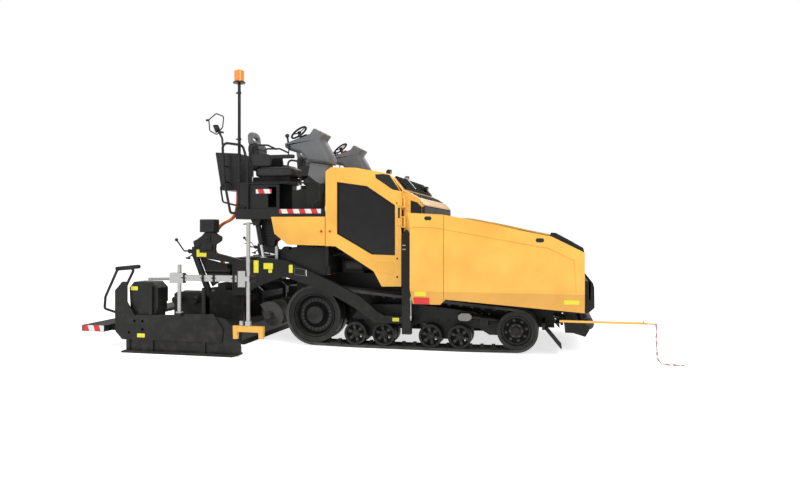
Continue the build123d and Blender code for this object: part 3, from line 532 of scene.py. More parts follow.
class Grower(Maker):
    def __init__(self, name, **sizes):  # each size is a named input, and an attribute in small letters
        self.tree, self.sockets = bpy.data.node_groups.new(name, "GeometryNodeTree"), {}
        kinds = {"Geometry": "Geometry", **{key: "Int" if isinstance(value, int) else "Float"
                                            for key, value in sizes.items()}, "Finish": "Material"}
        for key, kind in kinds.items():
            made = self.tree.interface.new_socket(key, in_out="INPUT", socket_type="NodeSocket" + kind)
            self.sockets[key] = made.identifier
            if key in sizes:
                made.default_value = sizes[key]
        self.tree.interface.new_socket("Geometry", in_out="OUTPUT", socket_type="NodeSocketGeometry")
        given = self.tree.nodes.new("NodeGroupInput")
        for key in kinds:
            setattr(self, key.lower(), Signal(self.tree, given.outputs[key]))

    def geo(self, kind, settings=None, **sockets):
        return self.node("GeometryNode" + kind, settings, **sockets)

    def xyz(self, **sockets):
        return self.node("ShaderNodeCombineXYZ", **sockets)

    def turn(self, axis, way, pivot="AUTO", **sockets):  # turns an axis to a way, or to the way that points hold
        if isinstance(way, str):
            way = self.geo("InputNamedAttribute", {"data_type": "FLOAT_VECTOR"}, Name=way)
        settings = {"axis": axis, "pivot_axis": pivot}
        return self.node("FunctionNodeAlignRotationToVector", settings, Vector=way, **sockets)

    def done(self, shape):
        real = self.geo("RealizeInstances", Geometry=shape)
        coated = self.geo("SetMaterial", Geometry=real, Material=self.finish)
        feed(self.tree, self.tree.nodes.new("NodeGroupOutput").inputs[0], coated)


def grow(name, grower, finish, body="tractor", seed=None, place=None, sizes=None, **how):
    holder = newObject(name + "Seed", seed or bpy.data.meshes.new(name + "Seed"))
    maker = holder.modifiers.new("grow", "NODES")
    maker.node_group = grower.tree
    for key, value in {"Finish": finish, **(sizes or {})}.items():
        maker[grower.sockets[key]] = value
    graph = bpy.context.evaluated_depsgraph_get()
    graph.update()
    mesh = bpy.data.meshes.new_from_object(holder.evaluated_get(graph))
    bpy.data.objects.remove(holder)
    mesh.name = name
    if place is not None:
        mesh.transform(place)
        if place.determinant() < 0:  # a mirrored mesh is inside out
            mesh.flip_normals()
    return dress(name, mesh, finish, body, **how)


def holdValues(mesh, name, rows):  # a value or a way on each point
    vector = isinstance(rows[0], (tuple, Vector))
    held = mesh.attributes.new(name, "FLOAT_VECTOR" if vector else "FLOAT", "POINT")
    held.data.foreach_set("vector" if vector else "value", [c for row in rows for c in row] if vector else rows)


def pointSeed(rows):  # rows of (place, facing)
    seed = bpy.data.meshes.new("pointSeed")
    seed.from_pydata([tuple(place) for place, _ in rows], [], [])
    holdValues(seed, "facing", [way for _, way in rows])
    return seed


boltTree = Grower("boltTree", Head=0.011, Height=0.009, Washer=0.017)
head = boltTree.geo("MeshCylinder", Vertices=6, Radius=boltTree.head, Depth=boltTree.height)
head = boltTree.geo("Transform", Geometry=head, Translation=boltTree.xyz(Z=boltTree.height * 0.75))
washer = boltTree.geo("MeshCylinder", Vertices=12, Radius=boltTree.washer, Depth=boltTree.height * 0.5)
joined = boltTree.tree.nodes.new("GeometryNodeJoinGeometry")
for part in (head, washer):
    boltTree.tree.links.new(part.socket, joined.inputs[0])
boltTree.done(boltTree.geo("InstanceOnPoints", Points=boltTree.geometry, Rotation=boltTree.turn("Z", "facing"),
                           Instance=Signal(boltTree.tree, joined.outputs[0])))


def bolts(name, rows, finish, body="tractor", slot="steel", head=0.011, height=0.009):  # rows on the left
    for tag, side in sides:
        seed = pointSeed([((x, side * y, z), (i, side * j, k)) for (x, y, z), (i, j, k) in rows])
        grow(name + tag, boltTree, finish, body.replace("*", tag.lower()), seed, slot=slot,
             sizes={"Head": head, "Height": height, "Washer": head * 1.5})


print("tools ready")

# Running gear: rims, hubs and webs on the wheels, with their studs, painted shade in the recesses and bright caps.

wheels = {
    "driveAt": (-0.743, 0.433), "driveStuds": 24, "driveRing": 0.206, "driveFloor": 1.046, "driveHub": 1.08,
    "idlerAt": (2.065, 0.304), "idlerRing": 0.135, "idlerFloor": 1.088, "idlerHub": 1.122,
    "roadX": (-0.145, 0.261, 0.914, 1.313), "roadZ": 0.196, "roadFloor": 1.086, "lobes": 6, "rimFace": 1.137,
}


def ring(centre, radius, count, turn=0.0):  # bolts round an axle along Y
    x, y, z = centre
    return [((x + radius * cos(t), y, z + radius * sin(t)), out)
            for t in (2 * pi * k / count + turn for k in range(count))]


def bead(outer, inner, foot, edge, crown):  # the profile of a raised ring
    return [(outer, foot), (outer, edge), ((outer + inner) / 2, crown), (inner, edge), (inner, foot)]


def wheelDress():
    cast, shadeDiscs, caps = Shape(), Shape(), Shape()
    (x, z), y, hub, face = wheels["driveAt"], wheels["driveFloor"], wheels["driveHub"], wheels["rimFace"]
    axle = (x, 0, z)
    cast.turned([(0.243, y), (0.243, y + 0.012), (0.185, y + 0.012), (0.18, y)], axle, count=64)
    cast.solid([(0.108, hub + 0.055), (0.12, hub + 0.047), (0.126, hub + 0.03), (0.126, hub - 0.034)], axle, out, 56)
    cast.turned([(0, hub + 0.059), (0.05, hub + 0.059), (0.056, hub + 0.054), (0, hub + 0.053)], axle)
    cast.turned(bead(0.332, 0.312, face, 1.1405, 1.142), axle, count=72)
    cast.turned(bead(0.292, 0.28, 1.122, 1.139, 1.1415), axle, count=72)
    studs = ring((x, y + 0.012, z), wheels["driveRing"], wheels["driveStuds"])
    discs = [(axle, y, 0.127, 0.279)]
    (x, z), y, hub = wheels["idlerAt"], wheels["idlerFloor"], wheels["idlerHub"]
    axle = (x, 0, z)
    cast.turned([(0, hub + 0.012), (0.048, hub + 0.012), (0.06, hub), (0, hub - 0.002)], axle)
    cast.turned([(0.19, y), (0.19, y + 0.01), (0.168, y + 0.01), (0.164, y)], axle, count=56)
    studs += ring((x, y, z), wheels["idlerRing"], 8, 0.2) + ring((x, hub, z), 0.078, 6)
    discs.append((axle, y, 0.061, 0.163))
    y, z, lobes = wheels["roadFloor"], wheels["roadZ"], wheels["lobes"]
    for x in wheels["roadX"]:
        axle = (x, 0, z)
        cast.turned([(0, y + 0.044), (0.026, y + 0.044), (0.036, y + 0.036), (0.037, y + 0.033), (0, y + 0.032)],
                    axle, count=28)
        for k in range(lobes):  # cast webs between the hub and the rim
            arm = Shape().prism([(0.045, -0.017), (0.126, -0.027), (0.126, 0.027), (0.045, 0.017)], y, y + 0.02)
            cast.join(arm.shift(move(axle) @ turnOf(2 * pi * k / lobes + 0.3, "Y")))
        studs += ring((x, y + 0.02, z), 0.088, lobes, -0.3)
        cast.turned(bead(0.152, 0.14, face, 1.1405, 1.142), axle, count=48)
        caps.solid([(0.014, 0), (0.014, 0.008), (0.01, 0.011)], (x + 0.074, y + 0.018, z - 0.043), out, 20)
        discs.append((axle, y, 0.038, 0.138))
    # painted shade: near-black discs over the floor of each wheel recess, where shade falls
    for axle, y, low, high in discs:
        shadeDiscs.turned([(low, y - 0.001), (low, y + 0.0012), (high, y + 0.0012), (high, y - 0.001)], axle, count=56)
    both("wheelCastings", cast, wheelPaint, bevel=0.0015)
    both("wheelRecessShade", shadeDiscs, recessPaint)
    both("wheelCaps", caps, silver)
    bolts("wheelStuds", studs, darkSteel, head=0.013)


wheelDress()

# Between the wheels: the tensioner's pale casting, its ram and the frame's bolts.

tensioner = {
    "x": (1.285, 1.475), "z": (0.405, 0.515), "y": (0.986, 1.097), "ram": ((1.46, 1.05, 0.462), (1.8, 1.05, 0.432)),
    "bolts": (((0.6, 0.72, 1.0, 1.14), (0.4, 0.55)), ((-0.02, 0.03, 1.6, 1.7), (0.36, 0.5))), "boltY": 0.9855,
}


def trackDress():
    (x0, x1), (z0, z1) = tensioner["x"], tensioner["z"]
    outline = [(x0, z0 + 0.03), (x0 + 0.03, z0), (x1 - 0.05, z0), (x1, z0 + 0.035), (x1, z1 - 0.03),
               (x1 - 0.04, z1), (x0 + 0.05, z1), (x0, z1 - 0.035)]
    both("tensionerCasting", Shape().prism(outline, *tensioner["y"]), dullSilver, bevel=0.006)
    both("tensionerRam", Shape().tube(tensioner["ram"], 0.034, 20), black, bevel=0.002)
    bolts("beamBolts", [((x, tensioner["boltY"], z), out) for xs, zs in tensioner["bolts"] for x in xs for z in zs],
          black)


trackDress()

# Doors: a smoked pane with its seal, an inlay, a lock, a hand slot and a pressed panel.

door = {
    "window": [(-0.37, 2.301), (0.061, 2.237), (0.455, 1.972), (0.455, 1.293), (0.128, 1.301), (-0.37, 1.582)],
    "pane": (1.2405, 1.246), "face": 1.27, "latch": (-0.471, 1.617), "boltX": 0.485, "bolts": (1.0, 1.25, 2.0),
    "panelLock": (-0.126, 0.0037),
    "inlay": [(0.176, 2.395), (0.3, 2.398), (0.376, 2.383), (0.526, 2.163), (0.417, 2.185), (0.319, 2.255),
              (0.185, 2.344)],
    "slot": [(0.496, 1.8), (0.522, 1.8), (0.522, 1.94), (0.496, 1.94)],
    "press": [(0.2, 1.2), (0.44, 1.2), (0.44, 1.03), (0.2, 1.06)],
}


def doorDress():
    (y0, y1), window, face, leaf = door["pane"], door["window"], door["face"], "side_door_*"
    both("doorPane", Shape().prism(window, y0, y1), smokedAndShade, leaf)
    both("doorSeal", Shape().rim(window, 0.014, y1 - 0.002, face - 0.006), gripRubber, leaf, bevel=0.002)
    bolts("doorBolts", [((door["boltX"], face, z), out) for z in door["bolts"]], black, leaf, head=0.009,
          height=0.006)
    both("doorInlay", Shape().prism(door["inlay"], face - 0.0005, face + 0.0015), blackPlastic, leaf)
    (x, z), (dx, dy) = door["latch"], door["panelLock"]
    lock = Shape().solid([(0.017, 0), (0.017, 0.005), (0.013, 0.008)], (x, face - 0.001, z), out, 24)
    both("doorLock", lock, redPlastic, leaf)
    both("panelLock", Shape([(x + dx, y + dy, z) for x, y, z in lock.points], lock.faces), redPlastic)
    both("doorSlot", Shape().prism(door["slot"], face - 0.001, face + 0.005), blackPlastic, leaf, bevel=0.003)
    both("doorPress", Shape().rim(door["press"], 0.008, face - 0.001, face + 0.003), amber, leaf, bevel=0.0015)


doorDress()

# Hood: smoked panes and their seals, and the intake's slats over a near-black sheet of painted shade.

hood = {
    "pane": [(0.657, 2.036), (0.749, 2.007), (0.809, 1.948), (0.809, 1.852), (0.657, 1.862)],
    "paneY": (1.1922, 1.1975), "front": 0.843, "frontZ": (1.842, 1.968), "frontHalf": 1.2008, "half": 1.036,
    "intake": [(0.59, 2.156), (0.65, 2.131), (0.745, 2.075)], "intakeSlats": (5, 8), "cornerY": (1.1998, 1.2012),
    "barY": (-0.69, -0.345, 0.0, 0.345, 0.69),
}

slatTree = Grower("slatTree", Count=14, Pitch=0.02, Long=2.0, Deep=0.02, Thick=0.004, Lean=0.5)
slatTree.done(slatTree.geo(
    "InstanceOnPoints", Rotation=slatTree.xyz(Y=slatTree.lean),
    Points=slatTree.geo("MeshLine", {"mode": "OFFSET"}, Count=slatTree.count, Offset=slatTree.xyz(X=slatTree.pitch)),
    Instance=slatTree.geo("MeshCube", Size=slatTree.xyz(X=slatTree.thick, Y=slatTree.long, Z=slatTree.deep))))


def slats(name, start, end, long, count, deep, thick, lean, body="tractor"):
    start, run = Vector(start), Vector(end) - Vector(start)
    grow(name, slatTree, blackPlastic, body, place=move(start) @ turnOf(-atan2(run.z, run.x), "Y"), sizes={
        "Count": count, "Pitch": run.length / (count - 1), "Long": long, "Deep": deep, "Thick": thick, "Lean": lean})


def hoodDress():
    (y0, y1), pane, lid = hood["paneY"], hood["pane"], "hood_lid"
    both("hoodPane", Shape().prism(pane, y0, y1), smokedAndShade)
    both("hoodPaneSeal", Shape().rim(pane, 0.008, y1 - 0.001, y1 + 0.0025), gripRubber)
    x, (z0, z1), half = hood["front"], hood["frontZ"], hood["frontHalf"]
    settle("hoodFrontPane", Shape().box((x, -half, z0), (x + 0.004, half, z1)), blackPlastic, body=lid, bevel=0.001)
    both("hoodCornerRear", Shape().plate(0.812, 1.852, 0.8345, 1.948, *hood["cornerY"], 0.002), blackPlastic)
    both("hoodCornerFront", Shape().plate(0.8352, 1.852, 0.846, 1.962, *hood["cornerY"], 0.002), blackPlastic, lid)
    edge = Shape().skin([[(x + d, y, z) for y, z in (
        (-half + i, z0 + i), (half - i, z0 + i), (half - i, z1 - i), (-half + i, z1 - i))]
        for d, i in ((0.0, 0.0), (0.007, 0.0), (0.007, 0.012), (0.0, 0.012))], True)
    settle("hoodFrontSeal", edge, gripRubber, body=lid, bevel=0.001)
    run, half, back, bars = hood["intake"], hood["half"], Shape(), Shape()
    for i, (start, end) in enumerate(zip(run, run[1:])):
        slats(f"intakeSlats{i}", (start[0] + 0.006, 0, start[1] + 0.009), (end[0] - 0.004, 0, end[1] + 0.009),
              2 * half, hood["intakeSlats"][i], 0.014, 0.0035, 0.5, lid)
        # painted shade: a near-black sheet under the slats, where the opening behind them is in shade
        back.strip(start, end, 0.001, 0.003, -half, half)
        for y in hood["barY"]:
            bars.strip(start, end, 0.004, 0.018, y - 0.006, y + 0.006)
    settle("intakeShadeSheet", back, smokedAndShade, body=lid)
    settle("intakeBars", bars, blackPlastic, body=lid)


hoodDress()

# Roof slope: a black louvre across the shell over a near-black sheet of painted shade, a pale strut over it, and
# three work lamps.

slope = {
    "from": (0.392, 2.392), "to": (0.556, 2.192), "half": 1.06, "margin": 0.012, "slats": 11,
    "lamps": {"roofLampLeft": ((0.22, 0.62, 2.432), 0.01), "roofLampRight": ((0.22, -0.62, 2.432), 0.01),
              "slopeLamp": ((0.541, 0.61, 2.205), 0.06)},
    "lampSize": 0.045, "lampWay": (1, 0, -0.2),
}


def slopeDress():
    one, two = (Vector((x, 0, z)) for x, z in (slope["from"], slope["to"]))
    half, ahead = slope["half"], (two - one).normalized()
    up = Vector((one.z - two.z, 0, two.x - one.x)).normalized()
    a, b = one + ahead * slope["margin"], two - ahead * slope["margin"]
    line = [(p.x, p.z) for p in (a + up * 0.001, b + up * 0.001, b + up * 0.006, a + up * 0.006)]
    # painted shade: a near-black sheet under the louvre's slats, so that the gaps show shade
    settle("louvreShadeSheet", Shape().prism(line, -half, half), smokedAndShade, bevel=0.001)
    slats("louvre", a + up * 0.014 + ahead * 0.01, b + up * 0.014 - ahead * 0.01, 2 * half, slope["slats"], 0.016,
          0.004, 0.6)
    size, way = slope["lampSize"], slope["lampWay"]
    for name, (foot, stalk) in slope["lamps"].items():
        top = Vector(foot) + Vector((0, 0, stalk))
        head = top + Vector((0, 0, size * 0.7))
        case = Shape().tube([foot, top], 0.009, 10).turned([
            (0, -0.045), (size * 0.6, -0.045), (size * 0.95, -0.025), (size, 0.018), (size, 0.024),
            (size - 0.006, 0.024), (size - 0.007, 0.016), (0, 0.016)], head, way, 24)
        settle(name + "Case", case, blackPlastic, bevel=0.001)
        settle(name + "Lens", Shape().turned([
            (0, 0.0225), (size * 0.5, 0.021), (size - 0.008, 0.0175), (size - 0.009, 0.0165), (0, 0.0163)],
            head, way, 24), lampLens)
    strut = Shape().tube([(0.4, -0.3, 2.418), (0.545, -0.3, 2.245)], 0.01, 12)
    settle("louvreStrut", strut.box((0.385, -0.325, 2.397), (0.42, -0.275, 2.425)), silver)


slopeDress()
print("body dressed")

# Engine bay: black linings over the shell's inner wall, and the hoses and units behind the tow arm.

bay = {
    "wallX": (-0.5575, -0.5105), "half": 1.2225, "low": 1.0125, "notch": 1.1515, "notchTop": 1.1285, "top": 1.408,
    "pipes": ((1.07, 0.86), (1.1, 0.93), (1.16, 0.99), (1.05, 1.03)),
}


def bayDress():
    (x0, x1), notch, shelf, half = bay["wallX"], bay["notch"], bay["notchTop"], bay["half"]
    lining = Shape().box((x0, -notch, bay["low"]), (x1, notch, shelf)).box((x0, -half, shelf), (x1, half, bay["top"]))
    settle("bayLining", lining, black, bevel=0.002)
    hoses = Shape()
    for k, (z, y) in enumerate(bay["pipes"]):
        hoses.bend([(-0.5, y, z + 0.22), (-0.36, y + 0.02, z + 0.12 + 0.05 * k), (0.02, y + 0.04, z + 0.05),
                    (0.26, y, z - 0.02), (0.44, y - 0.02, z - 0.03)], 0.14, 0.017 - 0.002 * (k % 2), 12, 8)
    both("bayPipes", hoses, gripRubber)
    units = Shape().box((-0.42, 0.62, 1.02), (-0.1, 0.86, 1.3)).box((0, 0.55, 1.02), (0.34, 0.8, 1.22))
    units.solid([(0.075, -0.13), (0.085, -0.12), (0.085, 0.12), (0.075, 0.13)], (-0.2, 0.95, 1.14), (1, 0, 0), 28)
    both("bayUnits", units, castPaint, bevel=0.01)


bayDress()

# Rails: round tubes with swept corners.

rails = {
    "guardY": 1.2233, "guardR": 0.013, "hoopY": 1.229, "hoopR": 0.018, "tieR": 0.011, "tieY": 1.1303,
    "guard": [(-1.7037, 2.3), (-0.64, 2.3), (-0.64, 2.06), (-0.742, 1.995), (-0.742, 1.9353)],
    "hoop": [(-1.9003, 1.88), (-1.99, 1.88), (-2.078, 2.3), (-2.118, 2.9), (-1.8, 2.852), (-1.722, 2.6),
             (-1.722, 1.9353)],
    "low": [(-1.76, 1.955), (-2.11, 2.04), (-2.145, 2.25), (-2.08, 2.345)], "ties": ((-2.095, 2.56), (-2.08, 2.33)),
    "guardBends": [0.06, 0.03, 0.015], "hoopBends": [0.04, 0.09, 0.07, 0.09, 0.06],
}
y, thin = rails["hoopY"], rails["guardR"]
guard = Shape().bend(level(rails["guardY"], rails["guard"]), rails["guardBends"], thin, 16)
settle("guardRails", guard.double(), black, stands=["guard_rails"])
hoop = Shape().bend(level(y, rails["hoop"]), rails["hoopBends"], rails["hoopR"], 18, 8)
hoop.bend(level(y, rails["low"]), 0.04, thin, 16)
for x, z in rails["ties"]:
    hoop.tube([(x, rails["tieY"], z), (x, y, z)], rails["tieR"], 12)
settle("rearHoops", hoop.double(), black, stands=["rear_handrails"])

# Seats: padded cushion and back, a grey head shell with a hand hole, bellows and an armrest with a lever.

seat = {
    "cushion": ((-1.665, 0.715, 2.392), (-1.055, 1.185, 2.54)), "back": ((-1.745, 0.755, 2.5), (-1.575, 1.145, 2.9)),
    "leanAt": (-1.67, 0, 2.46), "lean": -6.0, "cushionSeams": (-0.52, 0.52), "backSeams": (-0.35, 0.35),
    "cells": 22, "seamDepth": 0.007, "seamWidth": 0.035, "round": 5.0,
    "crown": 0.012, "crownShare": 0.6, "pull": 0.035,
    "cushionSoft": 0.85, "backSoft": 0.8,
    "bellows": ((-1.69, 0.735, 2.334), (-1.11, 1.165, 2.396)), "folds": 4, "foldDepth": 0.016,
    "head": (0.95, 2.955), "hole": (0.95, 2.972), "frameY": (0.728, 1.172),
}


def pad(low, high, seams, across):  # a crowned cushion whose sides pull in between its corners
    low, high = Vector(low), Vector(high)
    middle, half, n = (low + high) / 2, (high - low) / 2, seat["round"]
    work = bmesh.new()
    bmesh.ops.create_cube(work, size=2.0)
    bmesh.ops.subdivide_edges(work, edges=work.edges, cuts=seat["cells"], use_grid_fill=True)
    for v in work.verts:
        u = v.co / (abs(v.co.x) ** n + abs(v.co.y) ** n + abs(v.co.z) ** n) ** (1 / n)
        way, dent = u.normalized(), seat["pull"]
        pull = 1 - dent * (1 - u.x ** 2) * abs(u.y) - dent * (1 - u.y ** 2) * abs(u.x)
        p = Vector((u.x * half.x * pull, u.y * half.y * pull, u.z * half.z))
        p -= way * seat["seamDepth"] * sum(exp(-((u[across] - seam) / seat["seamWidth"]) ** 2) for seam in seams)
        flat = (1 - min(1, abs(u.x) ** 2)), (1 - min(1, abs(u.y) ** 2)), abs(u.z) > 0.5
        p += way * seat["crown"] * flat[0] * flat[1] * flat[2] * seat["crownShare"]
        v.co = middle + p
    work.verts.index_update()
    made = Shape().add([v.co for v in work.verts], [[v.index for v in f.verts] for f in work.faces])
    work.free()
    return made


def softLoop(x, ry, rz, soft, middle):  # a loop with soft corners
    turns = [(cos(2 * pi * k / 48), sin(2 * pi * k / 48)) for k in range(48)]
    return [(x, middle[0] + ry * c * max(abs(c), 1e-4) ** -soft, middle[1] + rz * s * max(abs(s), 1e-4) ** -soft)
            for c, s in turns]


def seatDress():
    at = Vector(seat["leanAt"])
    lean = move(at) @ turnOf(radians(seat["lean"]), "Y") @ move(-at)
    for thing in both("seatCushion", pad(*seat["cushion"], seat["cushionSeams"], 1), seatVinyl, angle=80):
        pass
    for thing in both("seatBack", pad(*seat["back"], seat["backSeams"], 2).shift(lean), seatVinyl,
                      stands=["seat_*"], angle=80):
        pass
    rim = [(-1.728, 0.15, 0.105), (-1.708, 0.165, 0.118), (-1.676, 0.165, 0.118), (-1.664, 0.15, 0.105)]
    shell = [softLoop(-1.722, 0.098, 0.027, 0.2, seat["hole"]), *(softLoop(*row, 0.35, seat["head"]) for row in rim),
             softLoop(-1.672, 0.098, 0.027, 0.2, seat["hole"])]
    both("seatHead", Shape().skin(shell, True).shift(lean), greyPlastic, angle=50)
    frameOf = Shape().box((-1.72, 0.74, 2.3205), (-1.12, 1.16, 2.334))
    frameOf.join(Shape().box((-1.725, 0.84, 2.8), (-1.68, 1.06, 2.87)).shift(lean))
    for y in seat["frameY"]:
        frameOf.bend([(-1.7, y, 2.6), (-1.705, y, 2.76), (-1.665, y, 2.855), (-1.44, y, 2.85), (-1.3, y, 2.785)],
                     0.05, 0.013, 12)
        frameOf.box((-1.7, y - 0.012, 2.4), (-1.66, y + 0.012, 2.62))
        frameOf.prism([(-1.7, 2.56), (-1.4, 2.555), (-1.385, 2.6), (-1.4, 2.71), (-1.5, 2.735), (-1.7, 2.72)],
                      y - 0.016, y + 0.016)
    both("seatFrame", frameOf, blackPlastic, bevel=0.003)
    (x0, y0, z0), (x1, y1, z1) = seat["bellows"]
    steps, rows = 2 * seat["folds"], []
    for k in range(steps + 1):
        z, i = z0 + (z1 - z0) * k / steps, 0.0 if k % 2 else seat["foldDepth"]
        rows.append([(x0 + i, y0 + i, z), (x1 - i, y0 + i, z), (x1 - i, y1 - i, z), (x0 + i, y1 - i, z)])
    both("seatBellows", Shape().skin(rows), gripRubber, bevel=0.0025)
    arm = Shape().box((-1.38, 1.135, 2.655), (-1.04, 1.215, 2.705))
    arm.tube([(-1.12, 1.175, 2.7), (-1.115, 1.175, 2.79)], 0.009, 10)
    arm.turned([(0, 0), (0.017, 0.004), (0.02, 0.03), (0.017, 0.062), (0, 0.07)], (-1.115, 1.175, 2.785), upright, 16)
    both("seatArm", arm.tube([(-1.36, 1.175, 2.66), (-1.44, 1.16, 2.6)], 0.016, 10), blackPlastic, bevel=0.008)


seatDress()

# Consoles: soft-edged grey housings with a dark screen, keys and a round steering wheel.

console = {
    "outline": [(-1.208, 2.873), (-0.821, 3.004), (-0.763, 3.082), (-0.588, 2.991), (-0.651, 2.908), (-0.599, 2.826),
                (-0.504, 2.644), (-0.515, 2.564), (-0.842, 2.611), (-0.971, 2.745), (-1.121, 2.77), (-1.197, 2.822)],
    "steps": ((0.79, 0.055), (0.806, 0.022), (0.85, 0), (1.11, 0), (1.154, 0.022), (1.17, 0.055)), "round": 0.016,
    "skirt": [(-0.828, 2.602), (-0.553, 2.563), (-0.611, 2.3), (-0.7, 2.285), (-0.868, 2.42)],
    "skirtY": (0.873, 1.087), "wheelAt": (-1.04, 0.98, 3.045), "wheelTilt": -38.0, "rim": 0.124, "grip": 0.0142,
    "topAt": (-1.015, 0, 2.9385), "seamY": (0.8035, 1.1565), "knobs": (-0.115, 0.833, 0.028, 0.024),
}


def consoleDress():
    shell = Shape().skin([level(y, drawnIn(console["outline"], inset)) for y, inset in console["steps"]])
    both("consoleShell", shell, greyPlastic, stands=["console_*"], bevel=console["round"], angle=60)
    rim, grip = console["rim"], console["grip"]
    wheel = Shape().turned([(rim + grip * cos(t), grip * sin(t)) for t in (2 * pi * k / 14 for k in range(14))],
                           (0, 0, -0.001), upright, 56)
    wheel.turned([(0, -0.02), (0.026, -0.02), (0.03, -0.008), (0.03, 0.004), (0.022, 0.011), (0, 0.013)],
                 (0, 0, 0), upright, 28)
    for k in range(3):
        spoke = Shape().prism([(0.024, -0.009), (0.12, -0.006), (0.12, -0.001), (0.024, -0.001)], -0.012, 0.012)
        wheel.join(spoke.shift(turnOf(2 * pi * k / 3, "Z")))
    wheel.shift(move(console["wheelAt"]) @ turnOf(radians(console["wheelTilt"]), "Y"))
    both("steeringRim", wheel, gripRubber, "steering_wheel_*", ["steering_wheel_*"], bevel=0.001)
    column = Shape().tube([(-0.995, 0.98, 2.935), (-1.028, 0.98, 3.022)], 0.024, 20)
    both("steeringColumn", column, blackPlastic, bevel=0.002)
    (ax, az), (bx, bz) = console["outline"][:2]
    top = move(console["topAt"]) @ turnOf(-atan2(bz - az, bx - ax), "Y")
    for name, low, high, finish in (
            ("Screen", (0.06, 1.045, -0.002), (0.16, 1.15, 0.007), smokedAndShade),
            ("Keys", (-0.13, 0.815, -0.002), (-0.03, 0.9, 0.005), blackPlastic),
            ("Red", (0.07, 0.825, -0.002), (0.13, 0.88, 0.018), redPlastic)):
        both("console" + name, Shape().box(low, high).shift(top), finish, bevel=0.003)
    x, y, stepX, stepY = console["knobs"]
    up = top.to_3x3() @ Vector(upright)
    knobs = [(top @ Vector((x + stepX * i, y + stepY * j, 0.006)), up) for i in range(4) for j in range(3)]
    bolts("consoleKnobs", knobs, silver, slot="silver", head=0.006, height=0.005)
    pod = Shape().tube([(-1.16, 1.085, 2.875), (-1.172, 1.085, 2.96)], 0.014, 12)
    pod.turned([(0, -0.022), (0.02, -0.022), (0.031, -0.008), (0.031, 0.012), (0.02, 0.026), (0, 0.028)],
               (-1.176, 1.085, 2.985), (-0.3, 0, 1), 20)
    both("consolePod", pod.box((-0.985, 1.1, 2.955), (-0.955, 1.13, 3)), blackPlastic, bevel=0.002)
    both("consoleSkirt", Shape().prism(console["skirt"], *console["skirtY"]), greyPlastic, bevel=0.01)
    seam = Shape()
    for y in console["seamY"]:
        seam.box((-0.8, y - 0.0035, 2.7), (-0.788, y + 0.0035, 2.96), 9.0)
    both("consoleSeam", seam, blackPlastic)


consoleDress()

# Mast: the beacon's ribbed lens on a black foot, clamps, and the lamp in its guard on the right hoop.

mast = {
    "x": -1.886, "y": -1.16, "top": 3.77, "lensR": 0.066, "tall": 0.178, "clamps": (3.62, 2.95, 2.35), "ribsUp": 0.09,
    "guard": [(-2.217, 3.322), (-2.096, 3.276), (-2.111, 3.124), (-2.202, 3.016), (-2.316, 3.076), (-2.331, 3.236),
              (-2.217, 3.322), (-2.15, 3.297)], "guardY": -1.23,
    "lampAt": (-2.215, -1.23, 3.105), "lampWay": (-0.8, -0.45, -0.35),
}
ribTree = Grower("ribTree", Count=36, Ring=0.066, Deep=0.007, Wide=0.006, Tall=0.15)
ribTree.done(ribTree.geo(
    "InstanceOnPoints", Points=ribTree.geo("MeshCircle", Vertices=ribTree.count, Radius=ribTree.ring),
    Instance=ribTree.geo("MeshCube", Size=ribTree.xyz(X=ribTree.deep, Y=ribTree.wide, Z=ribTree.tall)),
    Rotation=ribTree.turn("X", ribTree.geo("InputPosition"))))


def mastDress():
    x, y, top, r, tall = (mast[key] for key in ("x", "y", "top", "lensR", "tall"))
    lensOf = Shape().turned([(0, 0.012), (r, 0.012), (r, tall - 0.02), (r - 0.006, tall - 0.006), (r - 0.018, tall),
                             (0, tall + 0.001)], (x, y, top), upright, 48)
    settle("beaconLens", lensOf, amberLens, stands=["beacon"])
    grow("beaconRibs", ribTree, amberLens, place=move((x, y, top + mast["ribsUp"])))
    foot = Shape().solid([(0.084, -0.004), (0.084, 0.008), (0.074, 0.016)], (x, y, top), upright)
    settle("beaconFoot", foot, blackPlastic)
    clamps = Shape()
    for z in mast["clamps"]:
        clamps.turned([(0.023, -0.014), (0.03, -0.014), (0.03, 0.014), (0.023, 0.014)], (x, y, z), upright, 24)
        clamps.box((x - 0.052, y - 0.006, z - 0.01), (x - 0.024, y + 0.006, z + 0.01))
    settle("mastClamps", clamps, blackPlastic, bevel=0.001)
    guard = Shape().bend(level(mast["guardY"], mast["guard"]), 0.028, 0.0085, 12, 5)
    guard.bend([(-2.112, -1.229, 2.86), (-2.12, -1.229, 2.96), (-2.165, -1.23, 3.045)], 0.04, 0.015)
    guard.box((-2.175, -1.255, 3.035), (-2.105, -1.205, 3.06)).box((-2.375, -1.238, 3.215), (-2.325, -1.222, 3.245))
    settle("lampGuard", guard, black)
    for name, finish, profile in (
            ("Case", blackPlastic, [(0, -0.05), (0.035, -0.046), (0.055, -0.02), (0.06, 0.018), (0.06, 0.026),
                                    (0.052, 0.026), (0.051, 0.018), (0, 0.018)]),
            ("Lens", lampLens, [(0, 0.024), (0.03, 0.0225), (0.05, 0.0195), (0.05, 0.0185), (0, 0.0182)])):
        settle("guardLamp" + name, Shape().turned(profile, mast["lampAt"], mast["lampWay"], 28), finish)


mastDress()
print("platform dressed")

# Free cords: two orange cables from the deck to the screed, and the guide rod's red and white chain.

cords = {
    "cableY": (-1.01, -0.964), "cableD": 0.034,
    "cable": [(-1.99, 2.212), (-1.99, 1.98), (-2.06, 1.8), (-2.27, 1.72), (-2.39, 1.54), (-2.38, 1.3),
              (-2.17, 1.11), (-2.17, 0.8603)],
    "chain": [(3.755, -1.52, 0.4967), (3.755, -1.52, 0.12), (3.8, -1.52, 0.024), (3.92, -1.52, 0.014),
              (4.08, -1.52, 0.013)],
    "chainD": 0.024, "link": 0.034,
}


